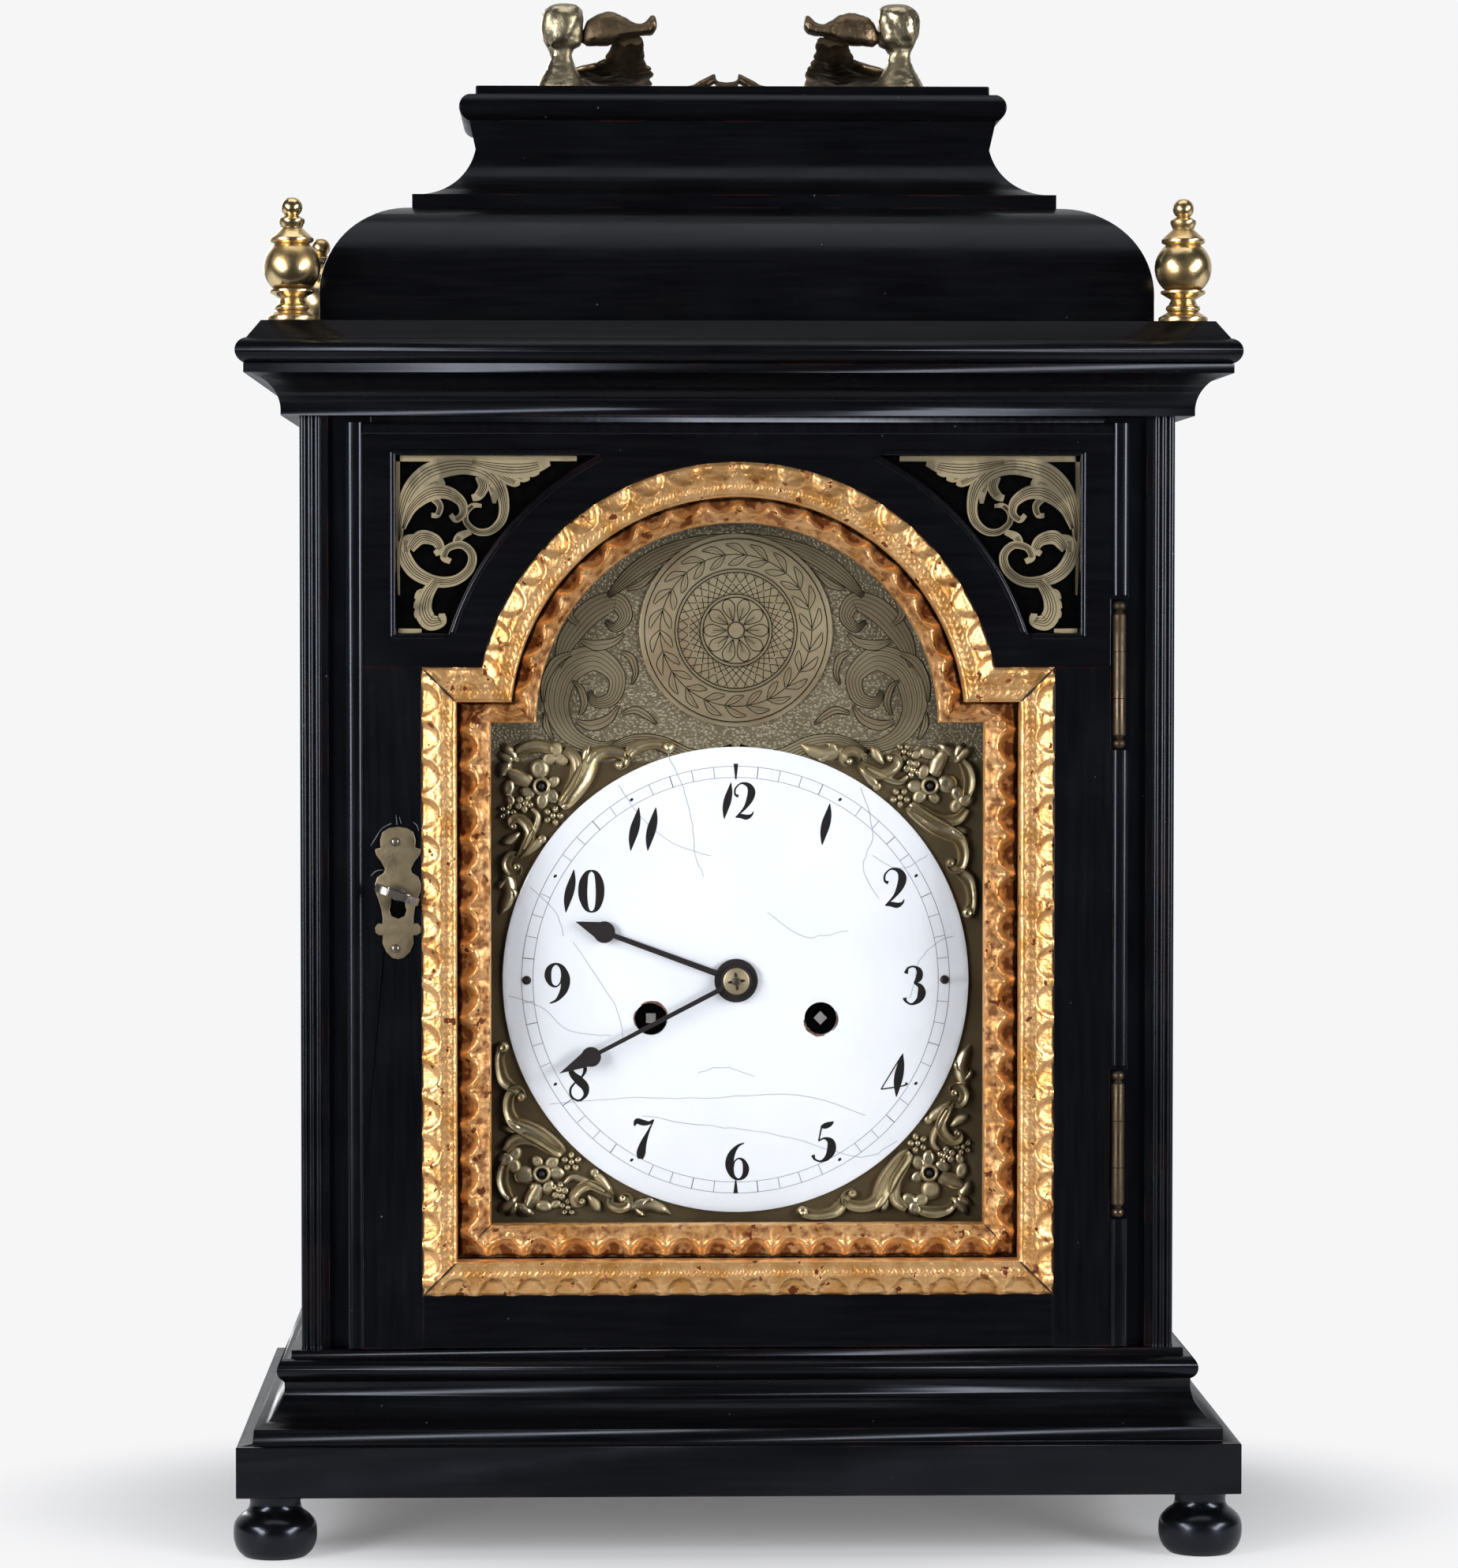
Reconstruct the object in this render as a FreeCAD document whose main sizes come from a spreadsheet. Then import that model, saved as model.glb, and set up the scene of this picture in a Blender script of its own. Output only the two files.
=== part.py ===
import FreeCAD, Part
import math
import os
from types import SimpleNamespace

import Sketcher

# Bracket clock with a bell top: +Z up, front towards -Y, origin under the middle of the feet.
# Every driving dimension in millimetres.
SIZES = {
    "foot_height": 20.0,
    "foot_diameter": 26.4,
    "foot_neck_diameter": 16.0,
    "foot_sole_diameter": 20.0,
    "foot_inset": 11.6,
    "plinth_height": 16.0,
    "plinth_projection": 19.5,
    "base_fillet_projection": 14.3,
    "base_fillet_height": 4.5,
    "base_cove_height": 14.0,
    "base_cove_hollow": 3.2,
    "base_bead_projection": 5.2,
    "base_bead_height": 7.0,
    "base_bead_swell": 2.2,
    "base_step_projection": 3.0,
    "base_step_height": 2.5,
    "frame_bearing": 14.0,
    "bottom_board_thickness": 8.0,
    "body_width": 277.0,
    "body_depth": 161.0,
    "body_height": 295.5,
    "panel_thickness": 10.0,
    "front_thickness": 11.5,
    "back_thickness": 10.0,
    "pilaster_width": 9.0,
    "pilaster_proud": 3.0,
    "reed_swell": 0.9,
    "front_stile_width": 22.3,
    "door_opening_sill": 8.3,
    "door_opening_head": 9.5,
    "cornice_fascia_projection": 5.5,
    "cornice_fascia_height": 2.0,
    "cornice_cove_height": 11.0,
    "cornice_cove_projection": 15.2,
    "cornice_cove_hollow": 2.6,
    "cornice_fillet_projection": 16.4,
    "cornice_fillet_height": 2.8,
    "cornice_torus_height": 8.1,
    "cornice_torus_projection": 15.5,
    "cornice_torus_swell": 3.4,
    "cornice_ogee_height": 5.6,
    "cornice_top_projection": 11.2,
    "dome_width": 264.8,
    "dome_skirt_height": 8.0,
    "dome_height": 39.0,
    "dome_swell": 8.6,
    "neck_width": 208.0,
    "neck_fillet_height": 4.4,
    "neck_height": 30.0,
    "neck_waist_width": 168.0,
    "neck_waist_height": 20.7,
    "neck_hollow": 4.6,
    "neck_top_width": 172.0,
    "cap_width": 173.0,
    "cap_ovolo_height": 8.5,
    "cap_ovolo_swell": 2.8,
    "cap_fillet_width": 168.0,
    "cap_fillet_height": 3.0,
    "finial_height": 39.0,
    "finial_ball_diameter": 18.0,
    "finial_foot_diameter": 15.5,
    "finial_offset": 2.0,
    "pillar_spacing": 112.0,
    "pillar_height": 30.5,
    "pillar_head_diameter": 14.8,
    "pillar_neck_diameter": 7.5,
    "pillar_foot_diameter": 16.2,
    "pivot_height": 18.9,
    "pivot_diameter": 4.0,
    "pivot_depth": 5.0,
    "handle_end_gap": 0.8,
    "handle_reach": 40.0,
    "handle_bar_diameter": 6.0,
    "handle_slope": 23.0,
    "running_clearance": 0.05,
    "door_overlap": 7.3,
    "door_bottom_gap": 0.4,
    "door_top_gap": 2.0,
    "door_lip_thickness": 5.5,
    "door_lip_gap": 1.0,
    "door_tongue_depth": 10.1,
    "door_tongue_clearance": 1.2,
    "door_stile_width": 23.5,
    "door_bottom_rail_width": 16.85,
    "gilt_shoulder_rise": 18.25,
    "arch_headroom": 12.5,
    "gilt_shoulder_width": 17.0,
    "gilt_outer_member": 11.0,
    "gilt_inner_member": 10.65,
    "gilt_inner_shoulder": 6.75,
    "gilt_inner_arch": 8.1,
    "gilt_proud": 2.5,
    "gilt_inner_setback": 4.0,
    "glass_setback": 11.7,
    "glass_thickness": 2.0,
    "fret_edge": 15.5,
    "fret_head": 10.5,
    "fret_sill": 29.0,
    "fret_arch_gap": 13.0,
    "fret_thickness": 1.2,
    "fret_setback": 1.8,
    "lock_height": 145.0,
    "lock_case_height": 30.0,
    "lock_margin": 1.5,
    "lock_case_depth": 9.0,
    "lock_wall": 1.0,
    "bolt_height": 6.0,
    "bolt_thickness": 3.5,
    "bolt_rise": 8.0,
    "bolt_clearance": 0.3,
    "bolt_travel": 5.0,
    "escutcheon_height": 39.5,
    "escutcheon_margin": 0.25,
    "escutcheon_thickness": 1.0,
    "keyhole_diameter": 5.0,
    "keyhole_drop": 6.0,
    "key_shank_diameter": 3.0,
    "key_bow_width": 14.5,
    "key_bow_length": 9.5,
    "key_bow_thickness": 2.2,
    "key_standoff": 3.0,
    "key_bit_reach": 3.6,
    "hinge_barrel_diameter": 4.15,
    "hinge_edge": 3.0,
    "hinge_finial_length": 9.75,
    "hinge_knuckle_length": 6.0,
    "hinge_middle_length": 15.0,
    "hinge_pin_diameter": 1.8,
    "hinge_leaf_thickness": 1.2,
    "hinge_leaf_length": 11.0,
    "hinge_lower_height": 64.9,
    "hinge_upper_height": 213.8,
    "mask_thickness": 4.0,
    "mask_margin": 4.6,
    "dial_depth": 26.0,
    "dial_plate_thickness": 2.0,
    "dial_plate_margin": 7.6,
    "dial_drop": 82.6,
    "enamel_margin": 3.35,
    "enamel_rim": 1.4,
    "enamel_dome": 1.6,
    "boss_margin": 32.9,
    "boss_rise": 29.8,
    "boss_rim": 1.2,
    "boss_dome": 2.2,
    "winding_spread": 54.6,
    "winding_drop": 12.4,
    "winding_hole_diameter": 10.5,
    "winding_square": 3.1,
    "spandrel_margin": 1.55,
    "spandrel_tip": 22.0,
    "spandrel_gap": 2.5,
    "spandrel_thickness": 3.0,
    "spandrel_pin_inset": 14.3,
    "dial_screw_inset": 7.8,
    "dial_screw_diameter": 4.2,
    "hour_hand_short": 20.0,
    "minute_hand_short": 11.0,
    "hand_thickness": 0.8,
    "hour_hub_diameter": 14.0,
    "minute_hub_diameter": 9.8,
    "collet_diameter": 8.5,
    "centre_arbor_diameter": 2.4,
    "cannon_diameter": 4.0,
    "hour_pipe_diameter": 6.4,
    "plate_width": 104.0,
    "plate_height": 131.0,
    "plate_drop": 58.4,
    "plate_thickness": 2.5,
    "plate_gap": 46.0,
    "plate_pillar_diameter": 7.0,
    "plate_pillar_inset": 6.0,
    "upper_pillar_gap": 4.0,
    "dial_foot_length": 16.0,
    "dial_foot_diameter": 5.0,
    "dial_foot_inset": 8.0,
    "dial_foot_rise": 11.0,
    "arbor_diameter": 2.2,
    "pivot_arbor_diameter": 2.0,
    "barrel_diameter": 39.0,
    "barrel_length": 22.0,
    "strike_setback": 5.0,
    "barrel_arbor_diameter": 5.0,
    "centre_wheel_level": 32.0,
    "third_wheel_level": 38.0,
    "escape_wheel_level": 28.0,
    "pin_wheel_level": 38.0,
    "strike_pin_length": 3.0,
    "strike_pin_inset": 2.2,
    "strike_pin_diameter": 1.6,
    "wheel_thickness": 2.0,
    "pinion_length": 4.0,
    "train_module": 0.5,
    "motion_module": 0.75,
    "escape_radius": 12.0,
    "anchor_rise": 17.0,
    "pallet_clearance": 1.3,
    "crutch_length": 35.0,
    "pendulum_length": 150.0,
    "bob_diameter": 34.0,
    "bob_thickness": 9.0,
    "rod_diameter": 3.0,
    "rod_tail": 8.0,
    "bell_diameter": 68.0,
    "bell_thickness": 2.5,
    "bell_rise": 10.0,
    "bell_stand_reach": 30.0,
    "bell_stand_width": 8.0,
    "bell_stand_thickness": 4.0,
    "bell_stand_overlap": 24.0,
    "hammer_gap": 2.0,
    "hammer_reach": 12.0,
    "hammer_drop": 20.0,
    "seat_board_thickness": 8.0,
    "seat_board_depth": 56.0,
    "back_opening_width": 200.0,
    "back_opening_sill": 14.0,
    "back_opening_head": 14.0,
    "back_door_gap": 0.8,
    "back_pivot_diameter": 3.0,
    "back_pivot_length": 8.0,
}

# Tooth counts of the trains and of the motion work.
GREAT_TEETH = 72
CENTRE_PINION = 12
TRAIN_TEETH = 96
TRAIN_PINION = 8
ESCAPE_TEETH = 30
CANNON_TEETH = 12
MINUTE_TEETH = 36
MINUTE_PINION = 10
HOUR_TEETH = 40
PIN_WHEEL_PINS = 8

# Where the hands stand, in degrees clockwise from twelve.
HOUR_ANGLE = 290.3
MINUTE_ANGLE = 242.5
KEY_ANGLE = -20.0

doc = FreeCAD.newDocument("bracket_clock")
sheet = doc.addObject("Spreadsheet::Sheet", "Sizes")
for row, (word, number) in enumerate(SIZES.items(), 1):
    sheet.set("A%d" % row, word)
    sheet.set("B%d" % row, str(number))
    sheet.setAlias("B%d" % row, word)
doc.recompute()

Vector = FreeCAD.Vector
TO_FRONT = FreeCAD.Rotation(Vector(1, 0, 0), 90)
TO_BACK = FreeCAD.Rotation(Vector(1, 0, 0), -90)
UPRIGHT = FreeCAD.Rotation()


class Length:
    """A length that knows its value and the sheet expression that gives it."""

    def __init__(self, value, text):
        self.value = float(value)
        self.text = text

    def join(self, sign, other, value):
        return Length(value, "(%s %s %s)" % (self.text, sign, other.text))

    def __add__(self, other):
        other = length(other)
        return self.join("+", other, self.value + other.value)

    def __sub__(self, other):
        other = length(other)
        return self.join("-", other, self.value - other.value)

    def __mul__(self, other):
        other = length(other)
        return self.join("*", other, self.value * other.value)

    def __truediv__(self, other):
        other = length(other)
        return self.join("/", other, self.value / other.value)

    def __neg__(self):
        return Length(-self.value, "(0 - %s)" % self.text)

    __radd__ = __add__
    __rmul__ = __mul__

    def __rsub__(self, other):
        return length(other) - self


def length(number):
    if isinstance(number, Length):
        return number
    return Length(number, "(%.4f)" % number)


def root(square):
    return Length(math.sqrt(square.value), "sqrt(%s)" % square.text)


def cap_swell(radius, rise):
    """Swell that makes an arc from a rim up to its axis part of one sphere."""
    chord = radius * radius + rise * rise
    sphere = chord / (rise * 2)
    return sphere - root(sphere * sphere - chord / 4)


def sheet_length(word):
    return Length(sheet.get(word), "Sizes." + word)


dim = SimpleNamespace(**{word: sheet_length(word) for word in SIZES})
mm = SimpleNamespace(**{word: float(sheet.get(word)) for word in SIZES})
nodes = []


def node(piece):
    """Lists a finished piece as one of the clock's nodes."""
    nodes.append(piece)
    return piece


def bind(piece, place, amount):
    piece.setExpression(place, length(amount).text)


def put(piece, where, rotation=UPRIGHT):
    piece.Placement = FreeCAD.Placement(Vector(), rotation)
    for axis, amount in zip("xyz", where):
        bind(piece, "Placement.Base." + axis, amount)


# Building blocks

def bowed_arc(start, end, swell):
    """Counter-clockwise arc over a chord; a negative swell bows to the left of the way from start to end."""
    first, last = (start, end) if swell > 0 else (end, start)
    chord = last - first
    outward = Vector(chord.y, -chord.x, 0).normalize()
    top = (first + last) * 0.5 + outward * abs(swell)
    circle = Part.Arc(first, top, last).toShape().Curve
    centre = circle.Center
    low = math.atan2(first.y - centre.y, first.x - centre.x)
    high = math.atan2(last.y - centre.y, last.x - centre.x)
    if high < low:
        high += 2 * math.pi
    level = Part.Circle(centre, Vector(0, 0, 1), circle.Radius)
    return Part.ArcOfCircle(level, low, high)


def draw(sketch, loop):
    """Closed loop of corners, counter-clockwise; a third value bows the edge that follows outwards."""
    corners = [[length(amount) for amount in corner] for corner in loop]
    points = [Vector(corner[0].value, corner[1].value, 0) for corner in corners]
    ends = []
    for index, corner in enumerate(corners):
        start, end = points[index], points[(index + 1) % len(points)]
        if len(corner) == 2:
            edge = sketch.addGeometry(Part.LineSegment(start, end), False)
            ends.append((edge, 1, 2))
        else:
            edge = sketch.addGeometry(bowed_arc(start, end, corner[2].value), False)
            ends.append((edge, 1, 2) if corner[2].value > 0 else (edge, 2, 1))
    for index, (edge, first, last) in enumerate(ends):
        after, start, _ = ends[(index + 1) % len(ends)]
        sketch.addConstraint(Sketcher.Constraint("Coincident", edge, last, after, start))
    for index, (edge, first, last) in enumerate(ends):
        corner, following = corners[index], corners[(index + 1) % len(corners)]
        for kind, amount in (("DistanceX", corner[0]), ("DistanceY", corner[1])):
            tie = sketch.addConstraint(Sketcher.Constraint(kind, -1, 1, edge, first, amount.value))
            sketch.setExpression("Constraints[%d]" % tie, amount.text)
        if len(corner) == 3:
            across, up = following[0] - corner[0], following[1] - corner[1]
            swell = corner[2] if corner[2].value > 0 else -corner[2]
            radius = (across * across + up * up) / (swell * 8) + swell / 2
            tie = sketch.addConstraint(Sketcher.Constraint("Radius", edge, radius.value))
            sketch.setExpression("Constraints[%d]" % tie, radius.text)


def draw_circle(sketch, x, y, radius):
    x, y, radius = length(x), length(y), length(radius)
    circle = Part.Circle(Vector(x.value, y.value, 0), Vector(0, 0, 1), radius.value)
    edge = sketch.addGeometry(circle, False)
    for kind, amount in (("DistanceX", x), ("DistanceY", y)):
        tie = sketch.addConstraint(Sketcher.Constraint(kind, -1, 1, edge, 3, amount.value))
        sketch.setExpression("Constraints[%d]" % tie, amount.text)
    tie = sketch.addConstraint(Sketcher.Constraint("Radius", edge, radius.value))
    sketch.setExpression("Constraints[%d]" % tie, radius.text)


def body_with_sketch(name, plane, loops, circles):
    body = doc.addObject("PartDesign::Body", name)
    sketch = body.newObject("Sketcher::SketchObject", name + "_outline")
    flat = [face for face in body.Origin.OriginFeatures if face.Role == plane][0]
    sketch.AttachmentSupport = [(flat, "")]
    sketch.MapMode = "FlatFace"
    for loop in loops:
        draw(sketch, loop)
    for circle in circles:
        draw_circle(sketch, *circle)
    return body, sketch


def plate(name, loops, low_y, thickness, circles=()):
    """Flat piece facing the front: loops in X and Z, padded towards +Y."""
    body, sketch = body_with_sketch(name, "XZ_Plane", loops, circles)
    pad = body.newObject("PartDesign::Pad", name + "_pad")
    pad.Profile = sketch
    pad.Reversed = True
    bind(pad, "Length", thickness)
    put(body, (0, low_y, 0))
    return body


def post(name, loops, low_z, height):
    """Upright piece: loops in X and Y, padded towards +Z."""
    body, sketch = body_with_sketch(name, "XY_Plane", loops, ())
    pad = body.newObject("PartDesign::Pad", name + "_pad")
    pad.Profile = sketch
    bind(pad, "Length", height)
    put(body, (0, 0, low_z))
    return body


def turned(name, outline, where, rotation=UPRIGHT):
    """Turned piece: an outline of radius and height, spun about its own axis."""
    body, sketch = body_with_sketch(name, "XZ_Plane", [outline], ())
    spin = body.newObject("PartDesign::Revolution", name + "_spin")
    spin.Profile = sketch
    spin.ReferenceAxis = (sketch, ["V_Axis"])
    spin.Angle = 360
    put(body, where, rotation)
    return body


def box(name, low, high):
    block = doc.addObject("Part::Box", name)
    for axis, edge in enumerate(("Length", "Width", "Height")):
        bind(block, edge, high[axis] - length(low[axis]))
    put(block, low)
    return block


def rod(name, where, radius, reach, rotation=UPRIGHT):
    bar = doc.addObject("Part::Cylinder", name)
    bind(bar, "Radius", radius)
    bind(bar, "Height", reach)
    put(bar, where, rotation)
    return bar


def fuse(name, pieces):
    joined = doc.addObject("Part::MultiFuse", name)
    joined.Shapes = pieces
    return joined


def cut(name, piece, tools):
    waste = tools[0] if len(tools) == 1 else fuse(name + "_waste", tools)
    rest = doc.addObject("Part::Cut", name)
    rest.Base = piece
    rest.Tool = waste
    return rest


def group(name, pieces):
    together = doc.addObject("Part::Compound", name)
    together.Links = pieces
    return together


def mirrored(name, piece, normal):
    copy = doc.addObject("Part::Mirroring", name)
    copy.Source = piece
    copy.Normal = normal
    return copy


def pair(name, piece):
    """A piece and its mirror image on the other side of the clock."""
    return group(name, [piece, mirrored(name + "_left", piece, Vector(1, 0, 0))])


def four(name, piece):
    """A piece at each of the four corners seen from above."""
    front = [piece, mirrored(name + "_left", piece, Vector(1, 0, 0))]
    back = mirrored(name + "_back", group(name + "_front", front), Vector(0, 1, 0))
    return group(name, [doc.getObject(name + "_front"), back])


def solid(name, shape):
    """Piece whose shape is worked out below from the sheet's values."""
    piece = doc.addObject("Part::Feature", name)
    piece.Shape = shape
    return piece


# Levels and faces that several pieces share

half_width = dim.body_width / 2
half_depth = dim.body_depth / 2
corner_set = half_width - half_depth
plinth_bottom = dim.foot_height
plinth_top = plinth_bottom + dim.plinth_height
fillet_top = plinth_top + dim.base_fillet_height
base_cove_top = fillet_top + dim.base_cove_height
bead_top = base_cove_top + dim.base_bead_height
body_bottom = bead_top + dim.base_step_height
body_top = body_bottom + dim.body_height
fascia_top = body_top + dim.cornice_fascia_height
cornice_cove_top = fascia_top + dim.cornice_cove_height
cornice_fillet_top = cornice_cove_top + dim.cornice_fillet_height
torus_top = cornice_fillet_top + dim.cornice_torus_height
cornice_top = torus_top + dim.cornice_ogee_height
dome_top = cornice_top + dim.dome_height
neck_top = dome_top + dim.neck_height
ovolo_top = neck_top + dim.cap_ovolo_height
cap_top = ovolo_top + dim.cap_fillet_height

stile_face = dim.pilaster_proud - half_depth
frame_back = stile_face + dim.front_thickness
opening_half = half_width - dim.front_stile_width
opening_sill = body_bottom + dim.door_opening_sill
opening_head = body_top - dim.door_opening_head
lip_back = stile_face - dim.door_lip_gap
door_face = lip_back - dim.door_lip_thickness
tongue_back = lip_back + dim.door_tongue_depth
door_half = opening_half + dim.door_overlap
door_bottom = body_bottom + dim.door_bottom_gap
door_top = body_top - dim.door_top_gap
tongue_half = opening_half - dim.door_tongue_clearance
tongue_bottom = opening_sill + dim.door_tongue_clearance
tongue_top = opening_head - dim.door_tongue_clearance
gilt_half = door_half - dim.door_stile_width
gilt_radius = gilt_half - dim.gilt_shoulder_width
arch_z = door_top - dim.arch_headroom - gilt_radius
gilt_shoulder_z = arch_z + dim.gilt_shoulder_rise
gilt_bottom_z = door_bottom + dim.door_bottom_rail_width
rebate_half = gilt_half - dim.gilt_outer_member
rebate_bottom_z = gilt_bottom_z + dim.gilt_outer_member
rebate_shoulder_z = gilt_shoulder_z - dim.gilt_outer_member
rebate_radius = gilt_radius - dim.gilt_outer_member
sight_half = rebate_half - dim.gilt_inner_member
sight_bottom_z = rebate_bottom_z + dim.gilt_inner_member
sight_shoulder_z = rebate_shoulder_z - dim.gilt_inner_shoulder
sight_radius = rebate_radius - dim.gilt_inner_arch
glass_front = door_face + dim.glass_setback
glass_back = glass_front + dim.glass_thickness
dial_front = door_face + dim.dial_depth
dial_back = dial_front + dim.dial_plate_thickness
centre_z = arch_z - dim.dial_drop
enamel_radius = sight_half - dim.enamel_margin
back_inner = half_depth - dim.back_thickness


# Base, case and cornice

def bun_feet():
    neck, sole = dim.foot_neck_diameter / 2, dim.foot_sole_diameter / 2
    swell = dim.foot_diameter / 2 - (neck + sole) / 2
    collar = dim.foot_height * 0.93
    outline = [(0, 0), (sole, 0, swell), (neck, collar), (neck, dim.foot_height), (0, dim.foot_height)]
    across = half_width + dim.plinth_projection - dim.foot_inset
    foot = turned("bun_foot", outline, (across, across - corner_set, 0))
    node(four("bun_feet", foot))


def moulding_ring(name, profile, across):
    """Profile of offset and height carried round a rectangle with square corners."""
    deep = across - corner_set
    section = doc.addObject("Sketcher::SketchObject", name + "_section")
    put(section, (across, 0, 0), TO_FRONT)
    draw(section, profile)
    path = doc.addObject("Sketcher::SketchObject", name + "_path")
    draw(path, [(across, 0), (across, deep), (-across, deep), (-across, -deep), (across, -deep)])
    ring = doc.addObject("Part::Sweep", name)
    ring.Sections = [section]
    ring.Spine = (path, [])
    ring.Solid = True
    ring.Frenet = False
    ring.Transition = "Right corner"
    return ring


def mitre_block(name, loop):
    """Tall block whose slanting sides are the mitres between two lengths of moulding."""
    return post(name, [loop], 0, cap_top)


def mitre_blocks():
    far = dim.body_width
    deep = far - corner_set
    front = [(-far, -deep), (far, -deep), (corner_set, 0), (-corner_set, 0)]
    back = [(-corner_set, 0), (corner_set, 0), (far, deep), (-far, deep)]
    right = [(corner_set, 0), (far, -deep), (far, deep)]
    left = [(-corner_set, 0), (-far, deep), (-far, -deep)]
    sides = (("front", front), ("back", back), ("right", right), ("left", left))
    return [(side, mitre_block("mitre_" + side, loop)) for side, loop in sides]


def mitred_lengths(name, profile, blocks):
    """Four mitred lengths of one moulding, grouped."""
    ring = moulding_ring(name + "_ring", profile, half_width)
    pieces = []
    for side, block in blocks:
        piece = doc.addObject("Part::Common", name + "_" + side)
        piece.Base = ring
        piece.Tool = block
        pieces.append(piece)
    node(group(name, pieces))


def base_mouldings(blocks):
    profile = [
        (-dim.frame_bearing, plinth_bottom),
        (dim.plinth_projection, plinth_bottom),
        (dim.plinth_projection, plinth_top),
        (dim.base_fillet_projection, plinth_top),
        (dim.base_fillet_projection, fillet_top, -dim.base_cove_hollow),
        (dim.base_bead_projection, base_cove_top, dim.base_bead_swell),
        (dim.base_bead_projection, bead_top),
        (dim.base_step_projection, bead_top),
        (dim.base_step_projection, body_bottom),
        (-dim.frame_bearing, body_bottom),
    ]
    mitred_lengths("base_mouldings", profile, blocks)


def cornice_mouldings(blocks):
    profile = [
        (-dim.frame_bearing, body_top),
        (dim.cornice_fascia_projection, body_top),
        (dim.cornice_fascia_projection, fascia_top, -dim.cornice_cove_hollow),
        (dim.cornice_cove_projection, cornice_cove_top),
        (dim.cornice_fillet_projection, cornice_cove_top),
        (dim.cornice_fillet_projection, cornice_fillet_top),
        (dim.cornice_torus_projection, cornice_fillet_top, dim.cornice_torus_swell),
        (dim.cornice_torus_projection, torus_top),
        (dim.cornice_top_projection, cornice_top),
        (-dim.frame_bearing, cornice_top),
    ]
    mitred_lengths("cornice_mouldings", profile, blocks)


def bottom_board():
    across, deep = half_width - dim.frame_bearing, half_depth - dim.frame_bearing
    high = plinth_bottom + dim.bottom_board_thickness
    node(box("bottom_board", (-across, -deep, plinth_bottom), (across, deep, high)))


def side_panels():
    low = (half_width - dim.panel_thickness, frame_back, body_bottom)
    panel = box("side_panel", low, (half_width, back_inner, body_top))
    node(pair("side_panels", panel))


def hinge_levels():
    """Lowest height of each hinge barrel."""
    reach = dim.hinge_finial_length * 2 + dim.hinge_knuckle_length * 2 + dim.hinge_middle_length
    heights = (dim.hinge_lower_height, dim.hinge_upper_height)
    return [body_bottom + height - reach / 2 for height in heights], reach


def hinge_axis():
    return door_half - dim.hinge_edge, door_face


def case_leaf_box(name, low_z):
    """Leaf of the case half of a hinge, let into the stile behind the barrel."""
    x, y = hinge_axis()
    inner = x + dim.hinge_barrel_diameter / 2 - dim.hinge_leaf_thickness
    start = low_z + dim.hinge_finial_length
    stop = start + dim.hinge_knuckle_length * 2 + dim.hinge_middle_length
    front = y + dim.hinge_barrel_diameter / 2 + 0.3
    back = stile_face + dim.hinge_leaf_length / 2
    return box(name, (inner, front, start), (inner + dim.hinge_leaf_thickness, back, stop))


def bolt_level():
    """Lower edge, front face and depth of the bolt in the door's tongue."""
    low = body_bottom + dim.lock_height + dim.bolt_rise - dim.bolt_height / 2
    front = (lip_back + tongue_back) / 2 - dim.bolt_thickness / 2
    return low, front


def front_frame():
    low, high = (opening_half, stile_face, body_bottom), (half_width, frame_back, body_top)
    slots = [case_leaf_box("leaf_slot_%d" % i, level) for i, level in enumerate(hinge_levels()[0])]
    right = cut("front_stile_right", box("front_stile_right_board", low, high), slots)
    left_board = box("front_stile_left_board", (-half_width, stile_face, body_bottom),
                     (-opening_half, frame_back, body_top))
    bolt_low, bolt_front = bolt_level()
    gap = dim.bolt_clearance * 2
    mortise = box("bolt_mortise",
                  (-opening_half - dim.bolt_travel, bolt_front - gap, bolt_low - gap),
                  (-opening_half, bolt_front + dim.bolt_thickness + gap, bolt_low + dim.bolt_height + gap))
    left = cut("front_stile_left", left_board, [mortise])
    top = box("front_rail_top", (-opening_half, stile_face, opening_head),
              (opening_half, frame_back, body_top))
    bottom = box("front_rail_bottom", (-opening_half, stile_face, body_bottom),
                 (opening_half, frame_back, opening_sill))
    node(group("front_frame", [left, right, top, bottom]))


def reeded_pilasters():
    inner, crest = half_width - dim.pilaster_width, dim.reed_swell - half_depth
    reed = dim.pilaster_width / 4
    outline = [(inner, crest)]
    for number in (1, 2, 3):
        outline.append((inner + reed * number, crest, dim.reed_swell))
    outline += [(half_width, crest), (half_width, stile_face), (inner, stile_face)]
    node(pair("reeded_pilasters", post("reeded_pilaster", [outline], body_bottom, dim.body_height)))


def back_frame():
    half = dim.back_opening_width / 2
    sill, head = body_bottom + dim.back_opening_sill, body_top - dim.back_opening_head
    stile = box("back_stile", (half, back_inner, body_bottom), (half_width, half_depth, body_top))
    holes = back_pivot_rods("back_pivot_hole", dim.back_pivot_diameter / 2)
    rails = []
    for name, low, high in (("back_rail_bottom", body_bottom, sill), ("back_rail_top", head, body_top)):
        board = box(name + "_board", (-half, back_inner, low), (half, half_depth, high))
        rails.append(cut(name, board, [holes[len(rails)]]))
    node(group("back_frame", [stile, mirrored("back_stile_left", stile, Vector(1, 0, 0))] + rails))


def back_pivot_rods(name, radius):
    """Upright pins at the foot and head of the back door, half in the rail and half in the door."""
    x, y = back_pivot_axis()
    sill, head = body_bottom + dim.back_opening_sill, body_top - dim.back_opening_head
    reach = dim.back_pivot_length
    return [rod("%s_%d" % (name, i), (x, y, level - reach), radius, reach * 2)
            for i, level in enumerate((sill, head))]


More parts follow.
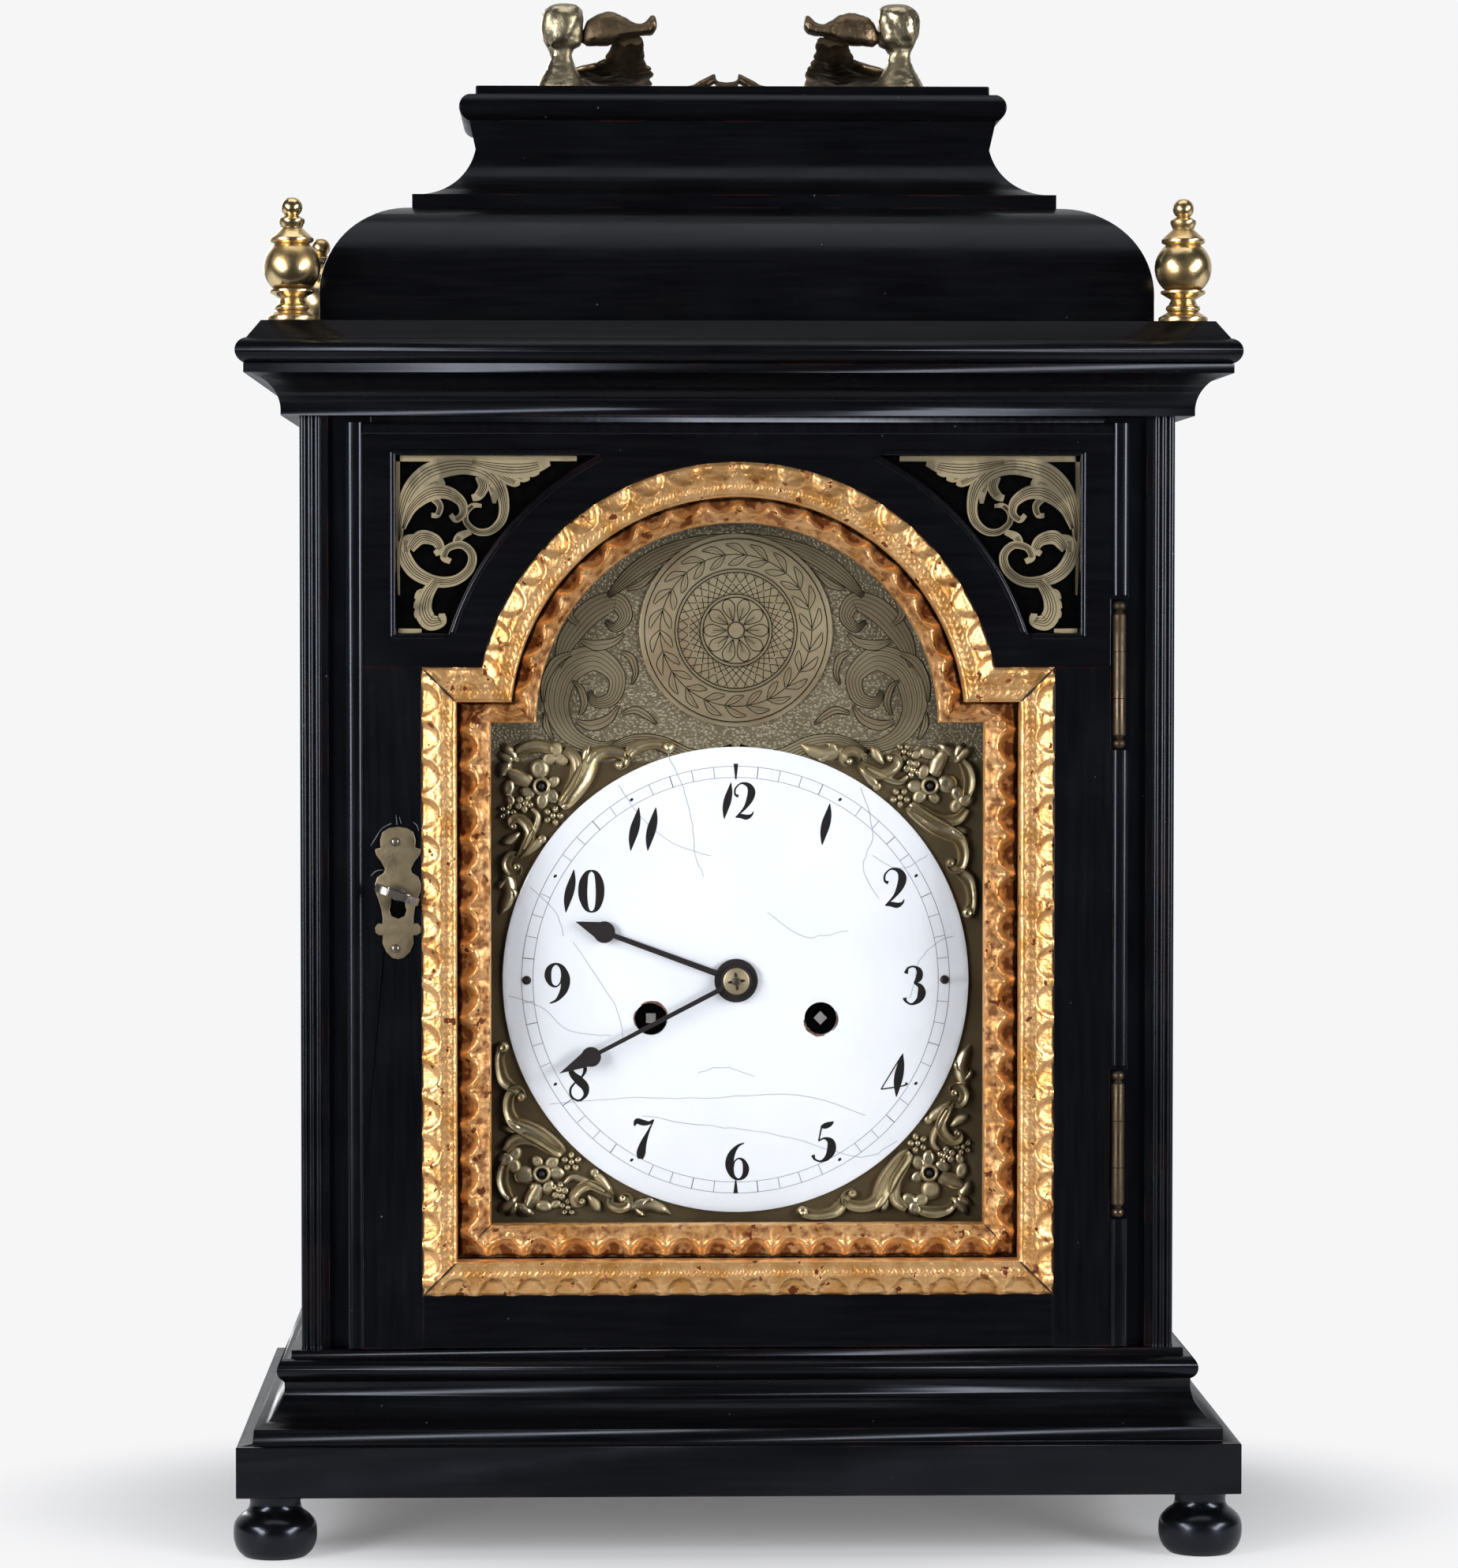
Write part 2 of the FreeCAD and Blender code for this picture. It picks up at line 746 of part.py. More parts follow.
def back_pivot_axis():
    edge = dim.back_thickness / 2 + dim.back_door_gap
    return dim.back_opening_width / 2 - edge, half_depth - dim.back_thickness / 2


def back_door():
    x, y = back_pivot_axis()
    gap = dim.back_door_gap
    low_z = body_bottom + dim.back_opening_sill + gap / 2
    high_z = body_top - dim.back_opening_head - gap / 2
    board = box("back_door_board", (gap - dim.back_opening_width / 2, back_inner, low_z),
                (x, half_depth, high_z))
    edge = rod("back_door_edge", (x, y, low_z), dim.back_thickness / 2, high_z - low_z)
    bores = back_pivot_rods("back_door_bore", dim.back_pivot_diameter / 2 + dim.running_clearance)
    node(cut("back_door", fuse("back_door_blank", [board, edge]), bores))
    node(group("back_pivots", back_pivot_rods("back_pivot", dim.back_pivot_diameter / 2)))


# Bell top, finials and carrying handle

def bell_tier(name, profile, across, low_z, high_z):
    """One tier of the bell top: a moulded ring closed by its own core."""
    ring = moulding_ring(name + "_ring", profile, across)
    deep = across - corner_set
    core = box(name + "_core", (-across, -deep, low_z), (across, deep, high_z))
    return fuse(name, [ring, core])


def bell_top():
    across = dim.neck_width / 2
    skirt = dim.dome_width / 2 - across
    dome = [(0, cornice_top), (skirt, cornice_top),
            (skirt, cornice_top + dim.dome_skirt_height, dim.dome_swell), (0, dome_top)]
    node(bell_tier("bell_top_dome", dome, across, cornice_top, dome_top))

    core = dim.neck_waist_width / 2 - 4
    fillet = dome_top + dim.neck_fillet_height
    neck = [(0, dome_top), (across - core, dome_top), (across - core, fillet, -dim.neck_hollow),
            (dim.neck_waist_width / 2 - core, dome_top + dim.neck_waist_height),
            (dim.neck_top_width / 2 - core, neck_top), (0, neck_top)]
    node(bell_tier("bell_top_neck", neck, core, dome_top, neck_top))

    core = dim.cap_fillet_width / 2 - 4
    ovolo, fillet = dim.cap_width / 2 - core, dim.cap_fillet_width / 2 - core
    cap = [(0, neck_top), (ovolo, neck_top, dim.cap_ovolo_swell), (ovolo, ovolo_top),
           (fillet, ovolo_top), (fillet, cap_top), (0, cap_top)]
    node(bell_tier("cap_board", cap, core, neck_top, cap_top))


def corner_finials():
    """Urn finial: moulded foot, ball between two discs, and a small ball on top."""
    tall, ball, foot = dim.finial_height, dim.finial_ball_diameter / 2, dim.finial_foot_diameter / 2
    middle, tip = tall * 0.442, ball * 0.03
    outline = [
        (0, 0), (foot, 0), (foot, tall * 0.04),
        (foot * 0.6, tall * 0.09, foot * 0.1), (foot * 0.6, tall * 0.14), (ball * 0.42, tall * 0.185),
        (ball * 0.78, tall * 0.235), (ball * 0.78, middle - ball * 0.8),
        (ball * 0.6, middle - ball * 0.8, ball * 0.4),
        (ball * 0.6, middle + ball * 0.8), (ball * 0.76, tall * 0.645), (ball * 0.76, tall * 0.67),
        (ball * 0.36, tall * 0.755), (ball * 0.45, tall * 0.8), (ball * 0.45, tall * 0.825),
        (ball * 0.22, tall * 0.855, cap_swell(ball * 0.22 - tip, tall * 0.145)), (tip, tall), (0, tall),
    ]
    across = half_width + dim.finial_offset
    node(four("corner_finials", turned("corner_finial", outline,
                                       (across, across - corner_set, cornice_top))))


def handle_pillars():
    foot, neck, head = dim.pillar_foot_diameter / 2, dim.pillar_neck_diameter / 2, dim.pillar_head_diameter / 2
    tall = dim.pillar_height
    under = tall - dim.pillar_head_diameter * 0.96
    crest, tip = under + head * 1.1, head * 0.03
    outline = [
        (0, 0), (foot, 0), (foot, tall * 0.05), (foot * 0.7, tall * 0.12), (neck, tall * 0.22),
        (neck, tall * 0.36), (neck * 1.4, tall * 0.4), (neck * 1.4, tall * 0.45), (head * 0.55, under),
        (head, under + head * 0.75), (head, crest, cap_swell(head - tip, tall - crest)), (tip, tall),
        (0, tall),
    ]
    pillar = turned("handle_pillar", outline, (dim.pillar_spacing / 2, 0, cap_top))
    inner = dim.pillar_spacing / 2 - head - 1
    hole = rod("pivot_hole", (inner, 0, cap_top + dim.pivot_height),
               dim.pivot_diameter / 2 + dim.running_clearance,
               dim.pivot_depth + 2, FreeCAD.Rotation(Vector(0, 1, 0), 90))
    node(pair("handle_pillars", cut("drilled_pillar", pillar, [hole])))


def tube_through(points, radius):
    """Round bar along straight runs with rounded corners."""
    pieces = []
    for start, end in zip(points, points[1:]):
        pieces.append(Part.makeCylinder(radius, (end - start).Length, start, end - start))
        pieces.append(Part.makeSphere(radius, end))
    return pieces


def leaf_plate(points, thickness):
    """Flat leaf with straight edges, centred on its own plane Z = 0."""
    face = Part.Face(Part.makePolygon(points + points[:1]))
    blade = face.extrude(Vector(0, 0, thickness))
    blade.translate(Vector(0, 0, -thickness / 2))
    return blade


def carry_handle():
    """Folded bail: pins, upturned scroll tongues, leaf shoulders and a grip with a middle collar."""
    face = mm.pillar_spacing / 2 - mm.pillar_head_diameter / 2 - mm.handle_end_gap
    reach, bar = mm.handle_reach, mm.handle_bar_diameter / 2
    pin_end = face + mm.handle_end_gap + mm.pivot_depth - 0.5
    parts = []
    for side in (1, -1):
        pin = Part.makeCylinder(mm.pivot_diameter / 2, pin_end - face + bar * 2,
                                Vector(side * (face - bar * 2), 0, 0), Vector(side, 0, 0))
        parts.append(pin)
        parts.append(Part.makeCylinder(bar * 1.15, bar * 2, Vector(side * (face - bar * 2), 0, 0),
                                       Vector(side, 0, 0)))
        parts += tube_through([Vector(side * (face - bar), 0, 0),
                               Vector(side * face * 0.7, reach * 0.02, bar * 0.5),
                               Vector(side * face * 0.56, reach * 0.05, bar * 2.3)], bar * 0.85)
        parts += tube_through([Vector(side * (face - bar), 0, 0),
                               Vector(side * face * 0.8, reach * 0.35, -bar * 0.2),
                               Vector(side * face * 0.9, reach * 0.6, -bar * 0.3),
                               Vector(side * face * 0.62, reach * 0.92, 0),
                               Vector(side * face * 0.2, reach, 0)], bar * 0.85)
        leaf = [Vector(side * face * 0.52, reach * 0.3, 0), Vector(side * face * 1.05, reach * 0.45, 0),
                Vector(side * face * 1.05, reach * 0.72, 0), Vector(side * face * 0.56, reach * 0.88, 0)]
        parts.append(leaf_plate(leaf, bar * 1.5))
    parts += tube_through([Vector(-face * 0.2, reach, 0), Vector(face * 0.2, reach, 0)], bar * 0.85)
    parts.append(Part.makeCylinder(bar * 1.35, bar * 1.4, Vector(-bar * 0.7, reach, 0), Vector(1, 0, 0)))
    shape = parts[0].multiFuse(parts[1:])
    handle = solid("carry_handle", shape)
    turn = FreeCAD.Rotation(Vector(1, 0, 0), -mm.handle_slope)
    handle.Placement = FreeCAD.Placement(Vector(0, 0, cap_top.value + mm.pivot_height), turn)
    node(handle)


# Front door

def arched_loop(half, bottom, shoulder, radius):
    """Outline of a window with square shoulders under a round arch, counter-clockwise."""
    rise = shoulder - arch_z
    foot = root(radius * radius - rise * rise)
    return [(-half, bottom), (half, bottom), (half, shoulder), (foot, shoulder, radius - rise),
            (-foot, shoulder), (-half, shoulder)]


def gilt_loop():
    return arched_loop(gilt_half, gilt_bottom_z, gilt_shoulder_z, gilt_radius)


def rebate_loop():
    return arched_loop(rebate_half, rebate_bottom_z, rebate_shoulder_z, rebate_radius)


def sight_loop(margin=0):
    """Sight opening of the inner frame, widened all round by a margin."""
    return arched_loop(sight_half + margin, sight_bottom_z - margin, sight_shoulder_z + margin,
                       sight_radius + margin)


def fret_edges():
    return door_half - dim.fret_edge, door_top - dim.fret_head, arch_z + dim.fret_sill


def fret_loop(side):
    """Three-cornered sound opening beside the arch."""
    outer, top, bottom = fret_edges()
    radius = gilt_radius + dim.fret_arch_gap
    high = root(radius * radius - (top - arch_z) * (top - arch_z))
    low = root(radius * radius - (bottom - arch_z) * (bottom - arch_z))
    across, up = low - high, top - bottom
    half_chord = (across * across + up * up) / 4
    swell = radius - root(radius * radius - half_chord)
    if side > 0:
        return [(low, bottom), (outer, bottom), (outer, top), (high, top, -swell)]
    return [(-high, top), (-outer, top), (-outer, bottom), (-low, bottom, -swell)]


def hinge_notches(name):
    """Room round each barrel in the edge of the door, and the slot for the door leaf."""
    x, _ = hinge_axis()
    levels, reach = hinge_levels()
    notches = []
    side = dim.hinge_barrel_diameter / 2 + 0.5
    for i, low in enumerate(levels):
        notches.append(box("%s_notch_%d" % (name, i), (x - side, door_face - 1, low - 0.5),
                           (door_half + 1, lip_back, low + reach + 0.5)))
        notches.append(door_leaf_box("%s_slot_%d" % (name, i), low))
    return notches


def door_leaf_box(name, low_z):
    x, y = hinge_axis()
    start = low_z + dim.hinge_finial_length + dim.hinge_knuckle_length + 0.1
    front = y + dim.hinge_barrel_diameter / 2 - dim.hinge_leaf_thickness / 2
    return box(name, (x - dim.hinge_leaf_length, front, start),
               (x, front + dim.hinge_leaf_thickness, start + dim.hinge_middle_length - 0.2))


def key_axis():
    return -(gilt_half + tongue_half) / 2, body_bottom + dim.lock_height


def lock_boxes(name, inset, gap):
    """Mortise or case of the lock, and the slot its bolt runs in."""
    x, z = key_axis()
    half, tall = (tongue_half - gilt_half) / 2 - dim.lock_margin, dim.lock_case_height / 2
    front = tongue_back - dim.lock_case_depth
    case = box(name + "_box", (x - half + inset, front + inset, z - tall + inset),
               (x + half - inset, tongue_back, z + tall - inset))
    low, bolt_front = bolt_level()
    slot = box(name + "_slot", (-tongue_half - 1, bolt_front - gap, low - gap),
               (x, bolt_front + dim.bolt_thickness + gap, low + dim.bolt_height + gap))
    return case, slot


def keyhole(name, front, depth, radius, drop):
    x, z = key_axis()
    round_part = rod(name + "_round", (x, front, z), radius, depth, TO_BACK)
    slot = box(name + "_slot", (x - radius * 0.6, front, z - drop), (x + radius * 0.6, front + depth, z))
    return [round_part, slot]


def door_stiles():
    def board(name, low_x, high_x, tongue_low, tongue_high):
        lip = box(name + "_lip", (low_x, door_face, door_bottom), (high_x, lip_back, gilt_shoulder_z))
        tongue = box(name + "_tongue", (tongue_low, lip_back, tongue_bottom),
                     (tongue_high, tongue_back, gilt_shoulder_z))
        return fuse(name + "_board", [lip, tongue])

    right = cut("door_stile_right", board("door_right", gilt_half, door_half, gilt_half, tongue_half),
                hinge_notches("door_right"))
    case, slot = lock_boxes("lock_mortise", 0, dim.bolt_clearance)
    hole = keyhole("door_keyhole", door_face - 1, dim.door_lip_thickness + dim.door_tongue_depth,
                   dim.keyhole_diameter / 2, dim.keyhole_drop)
    left = cut("door_stile_left", board("door_left", -door_half, -gilt_half, -tongue_half, -gilt_half),
               [case, slot] + hole)
    node(group("door_stiles", [left, right]))


def door_top_rail():
    foot = gilt_loop()[3][0]
    rise = gilt_radius - dim.gilt_shoulder_rise

    def board(name, half, top, front, deep):
        outline = [(-half, gilt_shoulder_z), (-foot, gilt_shoulder_z, -rise), (foot, gilt_shoulder_z),
                   (half, gilt_shoulder_z), (half, top), (-half, top)]
        return plate(name, [outline, fret_loop(1), fret_loop(-1)], front, deep)

    lip = board("door_top_lip", door_half, door_top, door_face, dim.door_lip_thickness)
    tongue = board("door_top_tongue", tongue_half, tongue_top, lip_back, dim.door_tongue_depth)
    node(cut("door_top_rail", fuse("door_top_board", [lip, tongue]), hinge_notches("door_top")))


def door_bottom_rail():
    lip = box("door_bottom_lip", (-gilt_half, door_face, door_bottom), (gilt_half, lip_back, gilt_bottom_z))
    tongue = box("door_bottom_tongue", (-gilt_half, lip_back, tongue_bottom),
                 (gilt_half, tongue_back, gilt_bottom_z))
    node(fuse("door_bottom_rail", [lip, tongue]))


def gilt_frames():
    front = door_face - dim.gilt_proud
    node(plate("gilt_outer_frame", [gilt_loop(), rebate_loop()], front, glass_front - front))
    front = door_face + dim.gilt_inner_setback
    node(plate("gilt_inner_frame", [rebate_loop(), sight_loop()], front, glass_front - front))
    pane = arched_loop(gilt_half - 0.3, gilt_bottom_z + 0.3, gilt_shoulder_z - 0.3, gilt_radius - 0.3)
    node(plate("door_glass", [pane], glass_front, dim.glass_thickness))


def sound_frets():
    """Pierced plates in the sound openings."""
    outer, top, bottom = fret_edges()
    part = (top - bottom) / 56
    holes = []
    for across, down, radius in ((6, 6, 3.4), (15, 6.5, 3.6), (25, 6, 3.2), (35, 5.5, 2.8), (45, 5, 2.2),
                                 (6, 16, 3.4), (16, 16.5, 3.8), (5.5, 26, 3.2), (14, 26, 2.8),
                                 (5.5, 36, 2.8), (12.5, 34, 2.0), (5, 45, 2.2)):
        holes.append((outer - part * across, top - part * down, part * radius))
    fret = plate("sound_fret", [fret_loop(1)], door_face + dim.fret_setback, dim.fret_thickness, holes)
    node(pair("sound_frets", fret))


def escutcheon():
    x, z = key_axis()
    half, tall = (tongue_half - gilt_half) / 2 - dim.escutcheon_margin, dim.escutcheon_height / 2
    lobe, waist = half * 0.75, half * 0.54
    outline = [
        (x - lobe * 0.7, z - tall, half * 0.2), (x + lobe * 0.7, z - tall), (x + lobe, z - tall * 0.7),
        (x + half, z - tall * 0.42), (x + half * 0.7, z - tall * 0.1), (x + half, z + tall * 0.25),
        (x + waist, z + tall * 0.42), (x + lobe, z + tall * 0.66),
        (x + lobe * 0.7, z + tall, half * 0.2), (x - lobe * 0.7, z + tall), (x - lobe, z + tall * 0.66),
        (x - waist, z + tall * 0.42), (x - half, z + tall * 0.25), (x - half * 0.7, z - tall * 0.1),
        (x - half, z - tall * 0.42), (x - lobe, z - tall * 0.7),
    ]
    front = door_face - dim.escutcheon_thickness
    blank = plate("escutcheon_blank", [outline], front, dim.escutcheon_thickness)
    hole = keyhole("escutcheon_keyhole", front - 1, dim.escutcheon_thickness + 2, dim.keyhole_diameter / 2,
                   dim.keyhole_drop)
    node(cut("escutcheon", blank, hole))


def lock():
    x, z = key_axis()
    case, _ = lock_boxes("lock_case_outer", 0, 0)
    inside, slot = lock_boxes("lock_case_inner", dim.lock_wall, dim.bolt_clearance)
    front = tongue_back - dim.lock_case_depth
    hole = rod("lock_key_hole", (x, front - 1, z), dim.key_shank_diameter / 2 + 0.4, dim.lock_wall + 2,
               TO_BACK)
    node(cut("lock_case", case, [inside, slot, hole]))
    low, bolt_front = bolt_level()
    tip = 0.3 - tongue_half
    node(box("lock_bolt", (tip, bolt_front, low),
             (x + 2, bolt_front + dim.bolt_thickness, low + dim.bolt_height)))


def oval(side, radius, level):
    """Closed outline of two half circles joined by straight lines, lying level."""
    right, left = Vector(side, 0, level), Vector(-side, 0, level)
    up, across = Vector(0, radius, 0), Vector(radius, 0, 0)
    edges = [Part.LineSegment(left - up, right - up), Part.Arc(right - up, right + across, right + up),
             Part.LineSegment(right + up, left + up), Part.Arc(left + up, left - across, left - up)]
    return Part.Wire([edge.toShape() for edge in edges])


def door_key():
    """Key in the lock: flat ring bow, collared shank and a bit inside the lock."""
    x, z = key_axis()
    shank = mm.key_shank_diameter / 2
    front = door_face.value - mm.escutcheon_thickness - mm.key_standoff
    tip = (tongue_back - dim.lock_case_depth + dim.lock_wall).value + 4
    long = tip - front
    parts = [Part.makeCylinder(shank, long, Vector(0, 0, 0), Vector(0, 1, 0)),
             Part.makeCylinder(shank * 1.5, 1.5, Vector(0, 0.4, 0), Vector(0, 1, 0))]
    half = mm.key_bow_thickness / 2
    deep = mm.key_bow_length / 2 + 0.3
    side = mm.key_bow_width / 2 - deep
    outer, inner = [oval(side, radius, -half) for radius in (deep, deep - 2.2)]
    bow = Part.Face([outer, inner], "Part::FaceMakerBullseye").extrude(Vector(0, 0, mm.key_bow_thickness))
    bow.translate(Vector(0, 0.3 - mm.key_bow_length / 2, 0))
    parts.append(bow)
    bit = Part.makeBox(mm.key_bit_reach, 2.5, 1.2, Vector(0, long - 3, -0.6))
    parts.append(bit)
    shape = parts[0].multiFuse(parts[1:])
    key = solid("door_key", shape)
    turn = FreeCAD.Rotation(Vector(0, 1, 0), -KEY_ANGLE)
    key.Placement = FreeCAD.Placement(Vector(x.value, front, z.value), turn)
    node(key)


def hinges():
    """Barrel hinges: the case half carries the pin with a turned finial at each end."""
    x, y = hinge_axis()
    barrel, pin = dim.hinge_barrel_diameter / 2, dim.hinge_pin_diameter / 2
    levels, reach = hinge_levels()
    case_halves, door_halves = [], []
    for i, low in enumerate(levels):
        first = low + dim.hinge_finial_length
        middle = first + dim.hinge_knuckle_length
        last = middle + dim.hinge_middle_length
        end = last + dim.hinge_knuckle_length
        top = low + reach
        outline = [(0, low), (barrel * 0.5, low, barrel * 0.45), (barrel * 0.5, low + 3),
                   (barrel, low + 4.5), (barrel, middle), (pin, middle), (pin, last), (barrel, last),
                   (barrel, top - 4.5), (barrel * 0.5, top - 3, barrel * 0.45), (barrel * 0.5, top),
                   (0, top)]
        spindle = turned("hinge_spindle_%d" % i, outline, (x, y, 0))
        pieces = [spindle, case_leaf_box("case_leaf_%d" % i, low)]
        inner = x + barrel - dim.hinge_leaf_thickness
        for number, (start, stop) in enumerate(((first, middle), (last, end))):
            pieces.append(box("case_web_%d_%d" % (i, number), (inner, y, start),
                              (inner + dim.hinge_leaf_thickness, y + barrel + 0.5, stop)))
        case_halves.append(fuse("case_hinge_half_%d" % i, pieces))
        sleeve = rod("door_knuckle_%d" % i, (x, y, middle + 0.1), barrel, dim.hinge_middle_length - 0.2)
        bore = rod("door_knuckle_bore_%d" % i, (x, y, middle), pin + dim.running_clearance,
                   dim.hinge_middle_length)
        blank = fuse("door_hinge_blank_%d" % i, [sleeve, door_leaf_box("door_leaf_%d" % i, low)])
        door_halves.append(cut("door_hinge_half_%d" % i, blank, [bore]))
    node(group("case_hinge_leaves", case_halves))
    node(group("door_hinge_leaves", door_halves))


# Dial and hands

def dial_mask():
    outer = half_width - dim.panel_thickness
    rim = [(-outer, body_bottom), (outer, body_bottom), (outer, body_top), (-outer, body_top)]
    node(plate("dial_mask", [rim, sight_loop(dim.mask_margin)], frame_back, dim.mask_thickness))


def dial_holes(name, front, deep, centre_radius):
    """Holes for the hands and for the two winding squares."""
    side, drop = dim.winding_spread / 2, centre_z - dim.winding_drop
    radius = dim.winding_hole_diameter / 2
    return [rod(name + "_centre", (0, front, centre_z), centre_radius, deep, TO_BACK),
            rod(name + "_going", (side, front, drop), radius, deep, TO_BACK),
            rod(name + "_strike", (-side, front, drop), radius, deep, TO_BACK)]


def dial():
    hour_radius = dim.hour_pipe_diameter / 2 + 0.8
    blank = plate("dial_plate_blank", [sight_loop(dim.dial_plate_margin)], dial_front,
                  dim.dial_plate_thickness)
    node(cut("dial_plate", blank, dial_holes("dial_plate_hole", dial_front - 1,
                                             dim.dial_plate_thickness + 2,
                                             hour_radius)))
    radius, rim, dome = enamel_radius, dim.enamel_rim, dim.enamel_dome
    tip = radius * 0.03
    outline = [(0, 0), (radius, 0), (radius, rim, cap_swell(radius - tip, dome)), (tip, rim + dome),
               (0, rim + dome)]
    disc = turned("enamel_blank", outline, (0, dial_front, centre_z), TO_FRONT)
    front = dial_front - rim - dome - 1
    node(cut("enamel_dial", disc, dial_holes("enamel_hole", front, rim + dome + 2, hour_radius)))
    radius, rim, dome = sight_radius - dim.boss_margin, dim.boss_rim, dim.boss_dome
    tip = radius * 0.03
    outline = [(0, 0), (radius, 0), (radius, rim, cap_swell(radius - tip, dome)), (tip, rim + dome),
               (0, rim + dome)]
    node(turned("arch_boss", outline, (0, dial_front, arch_z + dim.boss_rise), TO_FRONT))


def four_round_dial(name, piece):
    """A piece at each corner of the dial, mirrored across and up and down."""
    right = [piece]
    lower = mirrored(name + "_lower", piece, Vector(0, 0, 1))
    lower.setExpression("Base.z", centre_z.text)
    right.append(lower)
    half = group(name + "_right", right)
    return [half, mirrored(name + "_left", half, Vector(1, 0, 0))]


def corner_spandrels():
    reach, tip = sight_half - dim.spandrel_margin, dim.spandrel_tip
    radius = enamel_radius + dim.spandrel_gap
    side = root(radius * radius - tip * tip)
    chord = side - tip
    swell = radius - root(radius * radius - chord * chord / 2)
    outline = [(side, centre_z + tip), (reach, centre_z + tip), (reach, centre_z + reach * 0.62),
               (reach * 0.9, centre_z + reach * 0.72), (reach, centre_z + reach),
               (reach * 0.72, centre_z + reach * 0.9),
               (reach * 0.62, centre_z + reach), (tip, centre_z + reach), (tip, centre_z + side, -swell)]
    spandrel = plate("corner_spandrel", [outline], dial_front - dim.spandrel_thickness,
                     dim.spandrel_thickness)
    node(group("corner_spandrels", four_round_dial("corner_spandrels", spandrel)))


def dial_screws():
    """Screws at three and nine, and the pin through each spandrel's flower."""
    radius = dim.dial_screw_diameter / 2
    crown = dial_front - dim.enamel_rim - dim.enamel_dome * 0.32
    tip = radius * 0.1
    outline = [(0, 0), (radius, 0), (radius, 0.6, cap_swell(radius - tip, length(0.4))), (tip, 1), (0, 1)]
    screw = turned("dial_screw", outline, (enamel_radius - dim.dial_screw_inset, crown, centre_z), TO_FRONT)
    place = sight_half - dim.spandrel_margin - dim.spandrel_pin_inset
    pin = turned("spandrel_pin", outline, (place, dial_front - dim.spandrel_thickness, centre_z + place),
                 TO_FRONT)
    screws = [screw, mirrored("dial_screw_left", screw, Vector(1, 0, 0))]
    node(group("dial_screws", screws + four_round_dial("spandrel_pins", pin)))


def hand_levels():
    """Back faces of the hour hand and the minute hand."""
    crown = dial_front - dim.enamel_rim - dim.enamel_dome
    hour = crown - 1.2
    minute = hour - dim.hand_thickness - 1.5
    return hour.value, minute.value


def hand_shape(reach, hub, arm, bulb, hole):
    """Pear-tipped hand pointing along +Z, lying on Y = 0 and growing towards -Y."""
    thick = mm.hand_thickness

    def disc(radius, z):
        return Part.makeCylinder(radius, thick, Vector(0, 0, z), Vector(0, -1, 0))

    bulb_z = reach * 0.82
    tip = [Vector(-bulb * 0.8, 0, bulb_z + bulb * 0.5), Vector(bulb * 0.8, 0, bulb_z + bulb * 0.5),
           Vector(0, 0, reach)]
    blade = [Vector(-arm, 0, 0), Vector(arm, 0, 0), Vector(arm * 0.8, 0, bulb_z),
             Vector(-arm * 0.8, 0, bulb_z)]
    parts = [disc(hub, 0), disc(bulb, bulb_z)]
    for outline in (tip, blade):
        parts.append(Part.Face(Part.makePolygon(outline + outline[:1])).extrude(Vector(0, -thick, 0)))
    shape = parts[0].multiFuse(parts[1:])
    return shape.cut(Part.makeCylinder(hole, thick * 3, Vector(0, thick, 0), Vector(0, -1, 0)))


def hands():
    hour_y, minute_y = hand_levels()
    fit = 0.02
    for name, reach, hub, arm, bulb, hole, level, angle in (
            ("hour_hand", enamel_radius.value - mm.hour_hand_short, mm.hour_hub_diameter / 2, 1.0, 3.5,
             mm.hour_pipe_diameter / 2 + fit, hour_y, HOUR_ANGLE),
            ("minute_hand", enamel_radius.value - mm.minute_hand_short, mm.minute_hub_diameter / 2, 0.8,
             3.2,
             mm.cannon_diameter / 2 + fit, minute_y, MINUTE_ANGLE)):
        hand = solid(name, hand_shape(reach, hub, arm, bulb, hole))
        turn = FreeCAD.Rotation(Vector(0, 1, 0), angle)
        hand.Placement = FreeCAD.Placement(Vector(0, level, centre_z.value), turn)
        node(hand)
    radius, bore = dim.collet_diameter / 2, dim.centre_arbor_diameter / 2 + dim.running_clearance
    outline = [(bore, 0), (radius, 0), (radius, 0.5), (bore, 1.1)]
    where = (0, minute_y - mm.hand_thickness, centre_z)
    node(turned("hand_collet", outline, where, TO_FRONT))


# Movement

plate_front = dial_back + dim.dial_foot_length
plate_inside = plate_front + dim.plate_thickness
back_inside = plate_inside + dim.plate_gap
back_face = back_inside + dim.plate_thickness
plate_bottom = centre_z - dim.plate_drop


def around(place, distance, degrees):
    """Point at a distance and an angle from another, in X and Z."""
    turn = math.radians(degrees)
    return place[0] + distance * math.cos(turn), place[1] + distance * math.sin(turn)


def aim(place, target):
    return math.atan2(target[1] - place[1], target[0] - place[0])


def train_places():
    """Arbor places of both trains, seen from the front, in X and Z."""
    centre = (0.0, centre_z.value)
    going = (mm.winding_spread / 2, centre_z.value - mm.winding_drop)
    strike = (-going[0], going[1])
    step = mm.train_module * (TRAIN_TEETH + TRAIN_PINION) / 2
    third = around(centre, step, 60)
    escape = around(third, step, 120)
    anchor = (escape[0], escape[1] + mm.anchor_rise)
    great_module = 2 * math.hypot(going[0], mm.winding_drop) / (GREAT_TEETH + CENTRE_PINION)
    pin = around(strike, great_module * (GREAT_TEETH + TRAIN_PINION) / 2, 105)
    minute = around(centre, mm.motion_module * (CANNON_TEETH + MINUTE_TEETH) / 2, 90)
    hammer = (-mm.bell_diameter / 2 - mm.hammer_reach, anchor[1] - mm.hammer_drop)
    return SimpleNamespace(centre=centre, going=going, strike=strike, third=third, escape=escape,
                           anchor=anchor, pin=pin, minute=minute, hammer=hammer, great_module=great_module)


